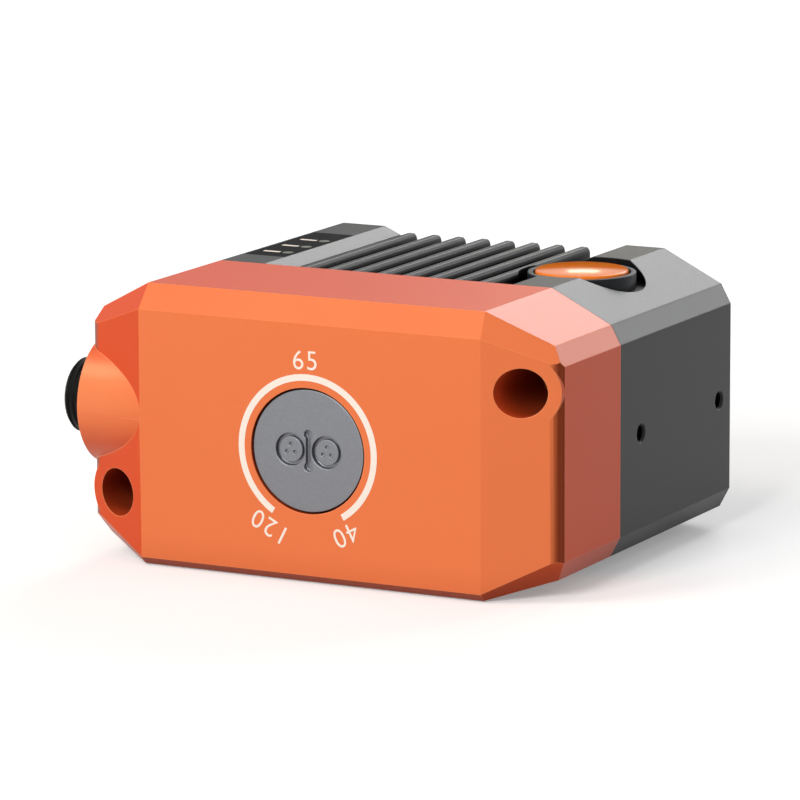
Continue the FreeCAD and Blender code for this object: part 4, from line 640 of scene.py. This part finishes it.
rounded_copy("printed_status_label", "indicator_panel", "camera", 0.00005,
             under_marks)
for index in range(3):
    middle = Vector((pipe_x, first_pipe + index * pipe_step, panel_top))
    disc = bmesh.new()
    bmesh.ops.create_circle(disc, cap_ends=True, radius=LAMP_WINDOW / 2, segments=32)
    bmesh.ops.solidify(disc, geom=disc.faces, thickness=PRINT_FILM)
    bmesh.ops.translate(disc, vec=middle, verts=disc.verts)
    new_piece(f"lamp_window_{index + 1}", disc, lamp_window, "camera")
    bar = bmesh.new()
    bmesh.ops.create_grid(bar, x_segments=1, y_segments=1, size=0.5)
    bmesh.ops.scale(bar, vec=(BAR_LENGTH, BAR_WIDTH, 1), verts=bar.verts)
    bmesh.ops.solidify(bar, geom=bar.faces, thickness=PRINT_FILM)
    spot = middle + Vector((-BAR_OFFSET, 0, 0))
    bmesh.ops.translate(bar, vec=spot, verts=bar.verts)
    new_piece(f"panel_bar_{index + 1}", bar, white_ink, "camera")

# ---------------------------------------------------------------- window
# Cast acrylic sheet with a hard coat, glued into its frame. Black oxide screws hold the
# frame to the housing.
window_acrylic, tree, place = new_finish("hard_coated_acrylic_window")
waves = noise(tree, place, 60.0, 1.0)
relief = add(tree, "ShaderNodeBump", {"Height": waves, "Strength": 0.02,
                                      "Distance": 0.0001})
surface(tree, {"Base Color": srgb("#f2f6f6"), "Roughness": 0.01, "IOR": 1.49,
               "Transmission Weight": 1.0, "Normal": relief.outputs["Normal"]})
coat_nodes(window_acrylic, "optical_window")

black_oxide, tree, place = new_finish("black_oxide_steel")
oil = noise(tree, place, 1800.0, 3.0)
gloss = add(tree, "ShaderNodeMapRange", {"Value": oil, "To Min": 0.28,
                                         "To Max": 0.45})
surface(tree, {"Base Color": srgb("#2a2b2d"), "Metallic": 1.0,
               "Roughness": gloss.outputs["Result"]})
coat_nodes(black_oxide, "window_screws", "cover_screws")

# ---------------------------------------------------------------- trigger button
# Injection-moulded translucent orange cap with a polished, slightly crowned top. Its stem
# stands in the return spring, inside a black anodised ring.
orange_cap, tree, place = new_finish("polished_orange_moulding")
flow = noise(tree, place, 150.0, 2.0)
shade = blend(tree, flow, "#fb8420", "#f67a18")
surface(tree, {"Base Color": shade, "Roughness": 0.1, "IOR": 1.53, "Subsurface Weight": 0.15,
               "Subsurface Scale": 0.001, "Specular IOR Level": 0.1})
coat_nodes(orange_cap, "trigger_button")

CAP_RADIUS = 0.0075
CAP_DOME = 0.085
CAP_EDGE = 0.00035
CAP_SKIRT = 0.0015
STEM_RADIUS = 0.0018
BEZEL_DROP = 0.0003
BEZEL_LIP = 0.0012
CROWN_STEPS = 16
EDGE_STEPS = 6

cap_low, cap_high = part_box("trigger_button")
cap_axis = (cap_low + cap_high) / 2
flat_radius = CAP_RADIUS - CAP_EDGE
profile = []
for step in range(CROWN_STEPS + 1):
    radius = flat_radius * step / CROWN_STEPS
    profile.append((radius, cap_high.z - radius ** 2 / (2 * CAP_DOME)))
rim_level = profile[-1][1]
for step in range(1, EDGE_STEPS + 1):
    turn = math.pi / 2 * step / EDGE_STEPS
    profile.append((flat_radius + CAP_EDGE * math.sin(turn),
                    rim_level - CAP_EDGE * (1 - math.cos(turn))))
profile += [(CAP_RADIUS, cap_high.z - CAP_SKIRT), (STEM_RADIUS, cap_high.z - CAP_SKIRT),
            (STEM_RADIUS, cap_low.z), (0, cap_low.z)]
cap = bmesh.new()
outline = [cap.verts.new((cap_axis.x + radius, cap_axis.y, level))
           for radius, level in profile]
lines = [cap.edges.new(pair) for pair in zip(outline, outline[1:])]
bmesh.ops.spin(cap, geom=[*outline, *lines], cent=cap_axis, axis=(0, 0, 1),
               angle=math.tau, steps=96, use_merge=True)
bmesh.ops.remove_doubles(cap, verts=cap.verts, dist=1e-7)
cap_piece = new_piece("domed_trigger_cap", cap, orange_cap, "trigger_button")
cap_piece.data.shade_smooth()
cap_piece.data.set_sharp_from_angle(angle=math.radians(40))
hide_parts("trigger_button")


def lower_bezel(point):
    """The ring's upper edge lies a little under the rim of the cap."""
    return point - Vector((0, 0, BEZEL_DROP)) if point.z > cap_high.z - BEZEL_LIP else point


rounded_copy("low_button_bezel", "button_bezel", "camera", 0.00012,
             lower_bezel)

# ---------------------------------------------------------------- round connector
# Turned and black anodised shell with a fine 1 mm thread, a moulded insert and eight
# gold-plated pins.
THREAD_PITCH = 0.001

threaded_shell, tree, place = new_finish("black_anodised_thread")
ridges = add(tree, "ShaderNodeTexWave", {"Vector": place,
                                         "Scale": WAVE / THREAD_PITCH},
             bands_direction="X", wave_profile="SIN")
relief = add(tree, "ShaderNodeBump", {"Height": ridges.outputs["Fac"], "Strength": 0.8,
                                      "Distance": 0.0003})
surface(tree, {"Base Color": srgb("#050504"), "Roughness": 0.5, "IOR": 1.5,
               "Specular IOR Level": 0.1, "Normal": relief.outputs["Normal"]})
coat_nodes(threaded_shell, "connector_shell")

gold, tree, place = new_finish("gold_plated_contact")
plating = noise(tree, place, 3000.0, 2.0)
gloss = add(tree, "ShaderNodeMapRange", {"Value": plating, "To Min": 0.16,
                                         "To Max": 0.26})
surface(tree, {"Base Color": srgb("#e6b955"), "Metallic": 1.0,
               "Roughness": gloss.outputs["Result"]})
coat_nodes(gold, "connector_pins")


# ---------------------------------------------------------------- studio
# A pale floor that keeps a soft shadow, a white surround, six soft boxes, a black flag
# behind and the camera.
FLOOR_REACH = 3.0
FLOOR_GAP = 0.0002
FLOOR_WHITE = 0.95
FLOOR_BOUNCE = 0.4
FLOOR_LIFT = 0.25
SURROUND = 0.28
TARGET = Vector((dial_middle.x, 0, 0.0225))
WARM_WHITE = (1, 0.95, 0.85)
CREAM = (1, 0.85, 0.6)

floor_mesh = bmesh.new()
bmesh.ops.create_grid(floor_mesh, x_segments=1, y_segments=1, size=FLOOR_REACH)
bmesh.ops.translate(floor_mesh, vec=(0, 0, cad_box[0][2] - FLOOR_GAP), verts=floor_mesh.verts)
floor_data = mesh_from("studio_floor", floor_mesh)
floor = in_scene("studio_floor", floor_data)


def seen_directly(tree):
    """1 for rays from the camera and in mirror or glass paths, 0 for the others."""
    path = add(tree, "ShaderNodeLightPath", {})
    mirror = add(tree, "ShaderNodeMath", {0: path.outputs["Is Camera Ray"],
                                          1: path.outputs["Is Glossy Ray"]},
                 operation="MAXIMUM")
    glass = add(tree, "ShaderNodeMath", {0: mirror.outputs[0],
                                         1: path.outputs["Is Transmission Ray"]},
                operation="MAXIMUM")
    return glass.outputs[0]


floor_paint, tree, place = new_finish("white_floor_paint")
seen = seen_directly(tree)
albedo = add(tree, "ShaderNodeMapRange", {"Value": seen, "To Min": FLOOR_BOUNCE,
                                          "To Max": FLOOR_WHITE})
paint = add(tree, "ShaderNodeBsdfDiffuse", {"Color": albedo.outputs["Result"]})
lift = add(tree, "ShaderNodeMath", {0: seen, 1: FLOOR_LIFT}, operation="MULTIPLY")
glow = add(tree, "ShaderNodeEmission", {"Color": (1, 1, 1, 1), "Strength": lift.outputs[0]})
both = add(tree, "ShaderNodeAddShader", {0: paint.outputs[0], 1: glow.outputs[0]})
add(tree, "ShaderNodeOutputMaterial", {"Surface": both.outputs[0]})
floor_data.materials.append(floor_paint)

world = bpy.data.worlds.new("studio_surround")
bpy.context.scene.world = world
world.use_nodes = True
tree = world.node_tree
tree.nodes.clear()
seen = seen_directly(tree)
level = add(tree, "ShaderNodeMapRange", {"Value": seen, "To Min": SURROUND, "To Max": 1.0})
surround = add(tree, "ShaderNodeBackground", {"Color": (1, 1, 1, 1),
                                              "Strength": level.outputs["Result"]})
add(tree, "ShaderNodeOutputWorld", {"Surface": surround.outputs[0]})


def soft_box(name, direction, distance, side, power, height=None, tone=(1, 1, 1)):
    """A rectangular area lamp that faces the camera body from a direction."""
    data = bpy.data.lights.new(name, "AREA")
    data.color = tone
    data.shape = "RECTANGLE"
    data.size = side
    data.size_y = height or side
    data.energy = power
    lamp = in_scene(name, data)
    away = Vector(direction).normalized()
    lamp.location = TARGET + away * distance
    lamp.rotation_euler = away.to_track_quat("Z", "Y").to_euler()
    return lamp


# The key lights the front. The other boxes stand where the facets, the connector's boss
# and the button's crown mirror them.
soft_box("key_box", (0.0, -0.87, 0.42), distance=1.2, side=0.45, power=8.9)
soft_box("right_box", (0.95, 0.1, 0.3), distance=1.0, side=0.4, power=0.4)
soft_box("side_box", (0.43, 0.87, 0.3), distance=1.3, side=0.3, power=3.0)
soft_box("rear_box", (-0.12, 0.87, 0.52), distance=1.2, side=0.5, power=4.5)
soft_box("boss_box", (-0.45, -0.5, 0.74), distance=1.0, side=0.4, power=2.4,
         tone=WARM_WHITE)
soft_box("button_box", (-0.4, 0.897, 0.27), distance=1.2, side=0.04, power=0.045,
         height=0.05, tone=CREAM)

# A low black flag behind the camera body keeps the flat tops from mirroring the white
# surround. The camera looks past it.
FLAG_DISTANCE = 1.6
FLAG_WIDTH = 2.0
FLAG_HEIGHT = 0.355
FLAG_SIDE = (-0.46, 0.88, 0)

flag_mesh = bmesh.new()
bmesh.ops.create_grid(flag_mesh, x_segments=1, y_segments=1, size=0.5)
bmesh.ops.scale(flag_mesh, vec=(FLAG_WIDTH, FLAG_HEIGHT, 1), verts=flag_mesh.verts)
behind = Vector(FLAG_SIDE).normalized()
stand = Matrix((behind.cross(Vector((0, 0, 1))), Vector((0, 0, 1)), -behind)).transposed()
bmesh.ops.transform(flag_mesh, matrix=stand.to_4x4(), verts=flag_mesh.verts)
bmesh.ops.translate(flag_mesh, vec=behind * FLAG_DISTANCE + Vector((0, 0, FLAG_HEIGHT / 2)),
                    verts=flag_mesh.verts)
flag_data = mesh_from("black_flag", flag_mesh)
flag = in_scene("black_flag", flag_data)
flag.visible_camera = False
black_cloth, tree, place = new_finish("black_flag_cloth")
cloth = add(tree, "ShaderNodeBsdfDiffuse", {"Color": srgb("#202020")})
add(tree, "ShaderNodeOutputMaterial", {"Surface": cloth.outputs[0]})
flag_data.materials.append(black_cloth)

AZIMUTH = math.radians(27.387)
ELEVATION = math.radians(11.118)
ROLL = math.radians(-0.226)
DISTANCE = 0.8678
LENS = 242.92
SHIFT = (-0.0097, 0.0051)
FAR_CLIP = 20.0

backward = Vector((math.sin(AZIMUTH) * math.cos(ELEVATION),
                   -math.cos(AZIMUTH) * math.cos(ELEVATION), math.sin(ELEVATION)))
level_right = Vector((math.cos(AZIMUTH), math.sin(AZIMUTH), 0))
level_up = backward.cross(level_right)
right = level_right * math.cos(ROLL) + level_up * math.sin(ROLL)
up = level_up * math.cos(ROLL) - level_right * math.sin(ROLL)

view = bpy.data.cameras.new("studio_camera")
view.lens = LENS
view.sensor_width = 36.0
view.shift_x, view.shift_y = SHIFT
view.clip_end = FAR_CLIP
camera = in_scene("studio_camera", view)
facing = Matrix((right, up, backward)).transposed()
camera.matrix_world = Matrix.Translation(TARGET + backward * DISTANCE) @ facing.to_4x4()
bpy.context.scene.camera = camera
bpy.context.scene.view_settings.view_transform = "Standard"
